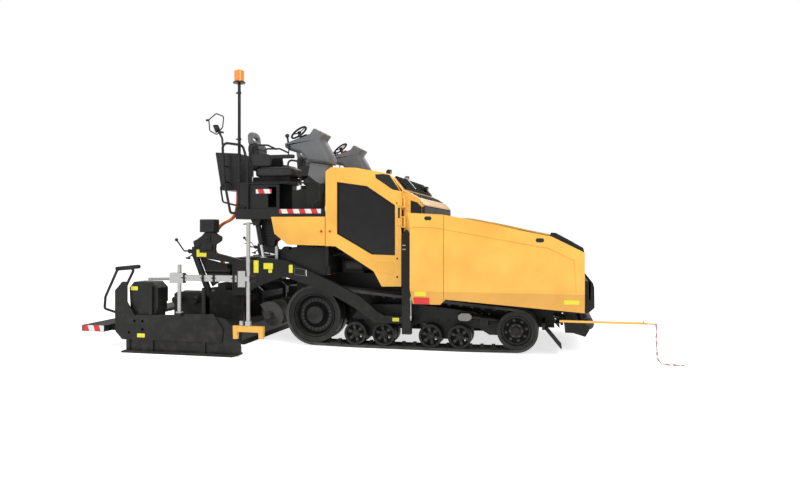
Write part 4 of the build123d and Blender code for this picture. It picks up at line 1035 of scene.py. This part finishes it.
def smoothLine(name, points):  # points read from a NURBS curve
    data = bpy.data.curves.new(name, "CURVE")
    data.dimensions, data.resolution_u = "3D", 14
    spline = data.splines.new("NURBS")
    spline.points.add(len(points) - 1)
    for knot, place in zip(spline.points, points):
        knot.co = (*place, 1.0)
    spline.order_u, spline.use_endpoint_u = 3, True
    thing = newObject(name, data)
    mesh = bpy.data.meshes.new_from_object(thing.evaluated_get(bpy.context.evaluated_depsgraph_get()))
    line = [v.co.copy() for v in mesh.vertices]
    bpy.data.objects.remove(thing)
    bpy.data.meshes.remove(mesh)
    return line


linkTree = Grower("linkTree", Long=0.049, Wide=0.024, Wire=0.005)
halfWide, halfLong = (span * 0.5 - linkTree.wire for span in (linkTree.wide, linkTree.long))
oval = linkTree.geo("CurvePrimitiveCircle", {"mode": "RADIUS"}, Resolution=14, Radius=halfWide)
oval = linkTree.geo("Transform", Geometry=oval, Scale=linkTree.xyz(X=1.0, Y=halfLong / halfWide, Z=1.0))
wire = linkTree.geo("CurvePrimitiveCircle", {"mode": "RADIUS"}, Resolution=7, Radius=linkTree.wire)
link = linkTree.geo("CurveToMesh", Curve=oval, Profile_Curve=wire)
linkTree.done(linkTree.geo(
    "InstanceOnPoints", Points=linkTree.geometry, Instance=link,
    Rotation=linkTree.turn("X", "aside", "Y", Rotation=linkTree.turn("Y", "facing"))))

chainFinish = Finish("chainPlastic")
tone = chainFinish.node("ShaderNodeAttribute", {"attribute_name": "tone"}, "Fac")
scuff = chainFinish.noise(60.0, 4.0)
tone = chainFinish.mix(scuff.within(0.6, 0.8) * 0.2,
                       chainFinish.mix(tone, rgb(0.34, 0.006, 0.010), rgb(0.66, 0.60, 0.58)), rgb(0.2, 0.18, 0.16))
chainFinish.surface(Base_Color=tone, Roughness=scuff * 0.2 + 0.3)


def cordDress():
    for k, y in enumerate(cords["cableY"]):
        name, wide = f"orangeCable{k}", cords["cableD"]
        line = smoothLine(name, level(y, cords["cable"]))
        tube, mesh = Shape().tube(line, wide / 2, 16), bpy.data.meshes.new(name)
        mesh.from_pydata(tube.points, [], tube.faces)
        mesh.materials.append(orangeJacket)
        mesh.shade_smooth()
        mesh.set_sharp_from_angle(angle=radians(60))
        cable = newObject(name, mesh)
        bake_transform(cable)
        if k == 0:
            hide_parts("orange_cables")
    line, gap, marks, walked = smoothLine("chainLine", cords["chain"]), cords["link"], [], 0.0
    for p, q in zip(line, line[1:]):  # evenly spaced places along the read line
        span = (q - p).length
        while walked + span >= (len(marks) + 0.5) * gap and span > 0:
            ahead, aside = (q - p).normalized(), Vector(out)
            marks.append((p.lerp(q, ((len(marks) + 0.5) * gap - walked) / span), ahead,
                          aside if len(marks) % 2 else ahead.cross(aside)))
        walked += span
    seed = pointSeed([mark[:2] for mark in marks])
    holdValues(seed, "aside", [mark[2] for mark in marks])
    holdValues(seed, "tone", [float(k % 3 == 2) for k in range(len(marks))])
    chain = grow("guideChain", linkTree, chainFinish.owner, seed=seed, slot="chain_plastic", stands=["guide_chain"])


cordDress()
print("cords laid")

# Augers: spiral blades on shafts, right-handed on the left and mirrored on the right.

auger = {
    "x": -1.44, "z": 0.42, "from": 0.15, "stub": 0.04, "stubFrom": 1.17, "end": 1.225, "inner": 0.12,
    "blade": {"Inner": 0.046, "Outer": 0.185, "Long": 1.01, "Pitch": 0.3, "Thick": 0.013},
}
spiralTree = Grower("spiralTree", **auger["blade"])
middleR = (spiralTree.inner + spiralTree.outer) * 0.5
spiral = spiralTree.geo("CurveSpiral", Resolution=40, Rotations=spiralTree.long / spiralTree.pitch,
                        Start_Radius=middleR, End_Radius=middleR, Height=spiralTree.long)
spiral = spiralTree.geo("SetCurveNormal", {"mode": "Z_UP"}, Curve=spiral)
blade = spiralTree.geo("CurvePrimitiveQuadrilateral", {"mode": "RECTANGLE"}, Height=spiralTree.thick,
                       Width=spiralTree.outer - spiralTree.inner + 0.004)  # the blade is sunk into the shaft
spiralTree.done(spiralTree.geo("CurveToMesh", Curve=spiral, Profile_Curve=blade, Fill_Caps=True))


def augerDress():
    x, z, start, s, inner, step, end = (auger[key] for key in ("x", "z", "from", "stub", "inner", "stubFrom", "end"))
    for tag, side in sides:
        body = "auger_" + tag.lower()
        place = Matrix.Diagonal((1, side, 1, 1)) @ move((x, start, z)) @ turnOf(-pi / 2, "X")
        grow("augerBlade" + tag, spiralTree, darkSteel, body, None, place, auger["blade"], stands=[body], angle=30)
    r = auger["blade"]["Inner"]
    shaft = [(r, inner), (r, step - 0.004), (r - 0.003, step), (s, step), (s, end - 0.006), (s - 0.006, end)]
    both("augerShaft", Shape().solid(shaft, (x, 0, z), out, 32), darkSteel, "auger_*")


augerDress()

# Screed: end gate handles, the control box above the depth strut, its knobs, and the sensor's rail and clamps.

slider, onRight = "screed_extension_*", "screed_extension_right"
screedParts = {
    "handle": [(-3.05, 0.9), (-2.93, 1.125), (-3.19, 1.105), (-3.375, 0.731), (-3.389, 0.573), (-3.19, 0.52)],
    "handleY": 2.126, "bar": ((-3.204, 1.114), (-2.858, 1.148)), "ridges": 9,
    "box": ((-2.385, 1.035, 1.602), (-2.15, 1.195, 1.792)), "back": -0.115, "fins": 7, "finPitch": 0.018,
    "stem": [(-2.33, 1.602), (-2.18, 1.602), (-2.1, 1.56), (-2.06, 1.54), (-2.06, 1.48), (-2.15, 1.42),
             (-2.165, 1.262), (-2.3, 1.31), (-2.425, 1.342), (-2.5, 1.38), (-2.515, 1.47), (-2.45, 1.5),
             (-2.37, 1.555)],
    "bosses": ((-2.44, 1.43, 0.052, 0.03, 24), (-2.29, 1.52, 0.034, 0.05, 20)), "strutY": 1.126,
    "knobs": ((-2.7, 1.325, 0.03), (-2.715, 1.225, 0.018)), "clampX": (-2.175, -1.9, -1.745, -1.465),
}


def screedDress():
    y, (ax, az), (bx, bz) = screedParts["handleY"], *screedParts["bar"]
    both("gateHandle", Shape().bend(level(y, screedParts["handle"]), 0.03, 0.0175), black, slider)
    grip, ridges = Shape().tube([(ax - 0.002, y, az), (bx + 0.002, y, bz)], 0.026, 18), screedParts["ridges"]
    for k in range(ridges):
        t = 0.1 + 0.8 * k / (ridges - 1)
        grip.turned([(0.0255, -0.006), (0.0285, -0.004), (0.0285, 0.004), (0.0255, 0.006)],
                    (ax + (bx - ax) * t, y, az + (bz - az) * t), (bx - ax, 0, bz - az), 18)
    both("gateGrip", grip, gripRubber, slider)
    back = move((screedParts["back"], 0, 0))
    both("controlBox", Shape().box(*screedParts["box"]).shift(back), black, "screed", ["screed_controls"], bevel=0.01)
    stem = Shape().prism(screedParts["stem"], 1.108, 1.152)
    for x, z, r, half, count in screedParts["bosses"]:
        stem.solid([(r, -half), (r, half)], (x, 1.13, z), out, count)
    stem.box((-2.36, 1.085, 1.34), (-2.2, 1.175, 1.42)).box((-2.33, 1.09, 1.46), (-2.23, 1.17, 1.56))
    both("controlStem", stem.shift(back), black, "screed", bevel=0.006)
    panel = Shape().plate(-2.372, 1.622, -2.163, 1.775, 1.1945, 1.1985, 0.01)
    both("controlPanel", panel.shift(back), blackPlastic, "screed", bevel=0.001)
    fins = Shape()
    for k in range(screedParts["fins"]):
        z = k * screedParts["finPitch"]
        fins.box((-2.352, 1.198, 1.644 + z), (-2.183, 1.201, 1.65 + z))
    both("controlFins", fins.shift(back), gripRubber, "screed")
    knobs, y = Shape(), screedParts["strutY"]
    for x, z, r in screedParts["knobs"]:
        knobs.solid([(r * 0.7, -r * 0.8), (r, -r * 0.4), (r, r * 0.4), (r * 0.7, r * 0.8)], (x, y, z), out, 20)
    knobs.turned([(0, -0.024), (0.015, -0.02), (0.024, -0.008), (0.024, 0.008), (0.015, 0.02), (0, 0.024)],
                 (-2.915, y, 1.49), out, 20)
    knobs.tube([(-2.72, y, 1.225), (-2.65, y, 1.275)], 0.01, 10)
    knobs.tube([(-2.76, y, 1.222), (-2.69, y, 1.212)], 0.013, 10)
    both("strutKnobs", knobs, blackPlastic, "screed")
    rail = Shape().tube([(-2.372, 2.15, 0.992), (-2.7, 2.15, 0.986)], 0.019, 18)
    settle("sensorRail", rail.on(-1), dullSilver, body=onRight, slot="steel")
    clamps = Shape()
    for x in screedParts["clampX"]:
        clamps.box((x - 0.016, 2.12, 0.962), (x + 0.016, 2.18, 1.058))
        clamps.tube([(x, 2.182, 1.01), (x, 2.2, 1.01)], 0.008, 8)
        clamps.tube([(x - 0.022, 2.199, 1.018), (x + 0.022, 2.199, 1.002)], 0.006, 8)
    clamps.box((-1.42, 2.105, 0.89), (-1.402, 2.18, 1.118)).box((-1.245, 2.11, 0.966), (-1.16, 2.165, 0.985))
    clamps.box((-1.245, 2.11, 1.035), (-1.16, 2.165, 1.054))
    clamps.tube([(-1.175, 2.137, 0.955), (-1.175, 2.137, 1.065)], 0.01, 10)
    clamps.tube([(-1.34, 2.15, 1.712), (-1.205, 2.15, 1.722)], 0.008, 8)
    clamps.tube([(-1.325, 2.15, 1.46), (-1.235, 2.15, 1.48), (-1.19, 2.15, 1.43)], 0.006, 8)
    settle("sensorClamps", clamps.on(-1), blackPlastic, body=onRight, bevel=0.0015)
    foot = Shape().solid([(0.03, 0), (0.03, 0.055), (0.018, 0.062)], (-1.365, 2.15, 0.412), upright, 20)
    foot.solid([(0.05, -0.006), (0.05, 0.006)], (-2.25, 2.15, 0.557), upright, 24)
    settle("sensorFoot", foot.on(-1), silver, body=onRight, bevel=0.001)


screedDress()

# Blank labels, safety stripes, hand slots, and painted shade on the downward-facing lower band of the cover and wing.
# A plate is given by two opposite corners, x, z, x, z.

wing = "hopper_wing_*"
labels = {
    "thick": 0.0016, "hem": 0.85, "lean": 0.1966, "labelY": 1.6463, "foldShadeY": 1.6451, "foldShadeThick": 0.001,
    "screed": ("screed", [
        (-2.566, 1.347, -2.52, 1.243, 1.1602), (-2.52, 1.3, -2.408, 1.243, 1.1602),
        (-1.625, 1.202, -1.551, 1.025, 1.2362), (-1.474, 1.166, -1.332, 1.08, 1.2362),
        (-1.4, 1.076, -1.345, 1.028, 1.2362), (-1.09, 1.145, -1.033, 1.032, 1.2362)]),
    "slider": (slider, [(-3.01, 0.879, -2.902, 0.826, 2.095), (-2.877, 0.258, -2.762, 0.205, 2.1484)]),
    "tractor": ("tractor", [(0.413, 0.445, 0.507, 0.396, 1.2505)]),
    "onCover": {"coverRed": (labelRed, "tractor", (0.782, 0.769, 0.99, 0.68)),
                "coverYellow": (labelYellow, "tractor", (0.798, 0.845, 0.949, 0.787)),
                "wingYellow": (labelYellow, wing, (2.67, 0.776, 2.853, 0.721))},
    # painted shade: darker amber sheets over the downward-facing lower band of the cover and the wing
    "foldShades": {"coverHem": ("tractor", [(0.7427, 0.849), (1.174, 0.849), (1.174, 0.728), (1.126, 0.681),
                                      (0.772, 0.683)]),
             "wingHem": (wing, [(1.181, 0.849), (2.913, 0.849), (2.913, 0.62), (1.2, 0.751), (1.181, 0.733)])},
    "armPlate": [(-1.008, 1.103), (-0.846, 1.086), (-0.846, 0.99), (-1.008, 1.007)], "armY": 1.2362,
    "armMark": [(-0.838, 1.076), (-0.827, 1.075), (-0.823, 0.99), (-0.834, 0.991)],
    "handholds": {"coverHandhold": ("tractor", (0.928, 1.762, 1.02, 1.812, 1.6445, 1.6463, 0.02)),
                  "wingHandhold": (wing, (2.33, 1.484, 2.43, 1.536, 1.6445, 1.6463, 0.022))},
    "stripes": {"deckStripe": ("tractor", (-1.234, 1.869, -0.612, 1.931), 1.2449),
                "stationStripe": ("tractor", (-1.603, 2.157, -1.362, 2.219), 1.2102),
                "walkStripe": (slider, (-3.742, 0.255, -3.423, 0.335), 2.0949)},
}


def onCover(shape, foot):  # stands a piece off the side cover, which leans in below its hem
    shape.points = [(x, y + foot - max(0.0, labels["hem"] - z) * labels["lean"], z) for x, y, z in shape.points]
    return shape


def markDress():
    thick, arm = labels["thick"], labels["armY"]
    for name in ("screed", "slider", "tractor"):
        (body, rows), sheet = labels[name], Shape()
        for *corners, y in rows:
            sheet.plate(*corners, y, y + thick)
        both(name + "Labels", sheet, labelYellow, body)
    for name, (finish, body, corners) in labels["onCover"].items():
        both(name + "Label", onCover(Shape().plate(*corners, 0, thick), labels["labelY"]), finish, body)
    # painted shade: the lower band below the fold is laid over in darker amber
    for name, (body, outline) in labels["foldShades"].items():
        both(name, onCover(Shape().prism(outline, 0, labels["foldShadeThick"]), labels["foldShadeY"]), foldShadeAmber, body)
    both("armPlate", Shape().rim(labels["armPlate"], 0.006, arm, arm + thick), greyPlastic, "screed")
    both("armMark", Shape().prism(labels["armMark"], arm, arm + thick), whitePlastic, "screed")
    for name, (body, place) in labels["handholds"].items():
        both(name, Shape().plate(*place), blackPlastic, body)
    for name, (body, corners, y) in labels["stripes"].items():
        both(name, Shape().plate(*corners, y, y + thick, 0.002), stripes, body)


markDress()

# Treads: raised lozenges on the deck and the walkways.

treads = {  # body, low and high corner, height of the plate
    "deckTread": ("tractor", (-1.02, -1.14), (-0.68, 1.14), 1.8252),
    "walkTread": ("screed", (-3.36, -1.22), (-3.04, 1.22), 0.4202),
    "sliderTreadLeft": ("screed_extension_left", (-3.74, 0.92), (-3.45, 2.06), 0.3362),
    "sliderTreadRight": (onRight, (-3.74, -2.06), (-3.45, -0.92), 0.3362),
}
treadTree = Grower("treadTree", Long=1.0, Wide=1.0, Pitch=0.034, Size=0.012, High=0.0022)
rowsX, rowsY = (calc("ROUND", span / treadTree.pitch) for span in (treadTree.long, treadTree.wide))
mat = treadTree.geo("MeshGrid", Size_X=treadTree.long, Size_Y=treadTree.wide, Vertices_X=rowsX, Vertices_Y=rowsY)
order = treadTree.geo("InputIndex")
parity = calc("MODULO", order + calc("FLOOR", order / rowsY), 2.0)  # every other lozenge lies across
lozenge = treadTree.geo("MeshCone", {"fill_type": "NONE"}, Vertices=6, Side_Segments=1, Depth=treadTree.high,
                        Radius_Top=treadTree.size * 0.35, Radius_Bottom=treadTree.size)
lozenge = treadTree.geo("Transform", Geometry=lozenge, Scale=(1.0, 0.42, 1.0))
treadTree.done(treadTree.geo("InstanceOnPoints", Points=mat, Instance=lozenge,
                             Rotation=treadTree.xyz(Z=parity * 1.5708 + 0.7854)))
for name, (body, low, high, top) in treads.items():
    place = move(((low[0] + high[0]) / 2, (low[1] + high[1]) / 2, top))
    grow(name, treadTree, black, body, place=place, sizes={"Long": high[0] - low[0], "Wide": high[1] - low[1]})
print("screed dressed")

# Small fittings: the guide rod's bright tip, the tow post's rod and clips, the rear posts and the screed's middle.

fittings = {
    "tip": ((3.65, -1.52, 0.498), (3.764, -1.52, 0.498)), "tipR": 0.0068,
    "postRod": ((0.672, 1.262, 0.745), (0.672, 1.262, 0.415)), "rodClips": (0.7, 0.46), "clips": (1.429, 1.374),
    "rearPost": [(-1.585, 1.789), (-1.6, 1.64), (-1.545, 1.4), (-1.4, 1.395), (-1.35, 1.56), (-1.345, 1.789)],
    "postY": (0.965, 1.045), "stepsAt": (-1.472, 1.049, 1.6),
    "postSteps": {"Count": 9, "Pitch": 0.042, "Long": 0.016, "Deep": 0.17, "Thick": 0.016, "Lean": 0.0},
    "reservoir": [(-1.343, 1.08), (-1.152, 1.08), (-1.152, 1.39), (-1.245, 1.4), (-1.343, 1.31)],
    "reservoirY": (0.93, 1.045), "stripY": (0.6785, 0.6825), "pipeZ": (0.905, 0.955, 1.005, 1.055),
    "filter": [(0.02, 1.11), (0.027, 1.118), (0.027, 1.372), (0.03, 1.374), (0.03, 1.392), (0.018, 1.398),
               (0.018, 1.408)],
    "strip": [(1.145, 0.7), (2.895, 0.7), (2.895, 0.785), (2.87, 0.794), (1.145, 0.794)],
    "gusset": [(-2.56, 1.236), (-2.12, 1.135), (-2.06, 0.96), (-2.2, 0.9), (-2.352, 0.8), (-2.42, 0.93)],
}


def fittingDress():
    tip = Shape().tube(fittings["tip"], fittings["tipR"])
    settle("rodTip", tip.tube([(3.607, -1.52, 0.505), (3.607, -1.52, 0.534)], 0.006, 10), dullSilver)
    rod, clips, pipes = Shape().tube(fittings["postRod"], 0.008, 12), Shape(), Shape()
    for z in fittings["rodClips"]:
        rod.box((0.66, 1.248, z - 0.012), (0.684, 1.266, z + 0.012))
    both("postRod", rod, silver)
    for z in fittings["clips"]:
        clips.box((0.556, 1.2585, z - 0.006), (0.6, 1.264, z + 0.006))
    both("postClips", clips, silver)
    both("rearPost", Shape().prism(fittings["rearPost"], *fittings["postY"]), black, bevel=0.008)
    x, y, z = fittings["stepsAt"]
    for tag, side in sides:
        place = move((x, side * y, z)) @ turnOf(-pi / 2, "Y") @ move((-0.16, 0, 0))
        grow("postSteps" + tag, slatTree, blackPlastic, place=place, sizes=fittings["postSteps"])
    both("rearReservoir", Shape().prism(fittings["reservoir"], *fittings["reservoirY"]), black, bevel=0.012)
    both("reservoirFilter", Shape().solid(fittings["filter"], (-1.338, 1.079, 0), upright, 28), silver, bevel=0.001)
    both("hopperStrip", Shape().prism(fittings["strip"], *fittings["stripY"]), flapRubber, bevel=0.001)
    middle = Shape().box((-2.33, -0.9, 0.865), (-1.985, 0.9, 1.13)).box((-2.29, -0.7, 1.128), (-2.06, 0.7, 1.21))
    middle.box((-2.42, -0.76, 0.9), (-2.328, -0.3, 1.06)).box((-2.42, 0.3, 0.9), (-2.328, 0.76, 1.06))
    settle("screedManifold", middle, black, body="screed", bevel=0.012)
    gusset = Shape().prism(fittings["gusset"], 1.066, 1.09).tube([(-2.46, 1.078, 1.03), (-2.06, 1.078, 1.03)], 0.03)
    both("strutGusset", gusset, black, "screed", bevel=0.004)
    for k, z in enumerate(fittings["pipeZ"]):
        x, y = -2.2 + 0.03 * k, 0.935 + 0.006 * k
        pipes.bend([(x, 0.89, z), (x, y, z), (-1.96, y, z), (-1.96, 0.6, z)], 0.02, 0.011, 10, 5)
    both("manifoldPipes", pipes, gripRubber, "screed")


fittingDress()
print("fittings dressed")
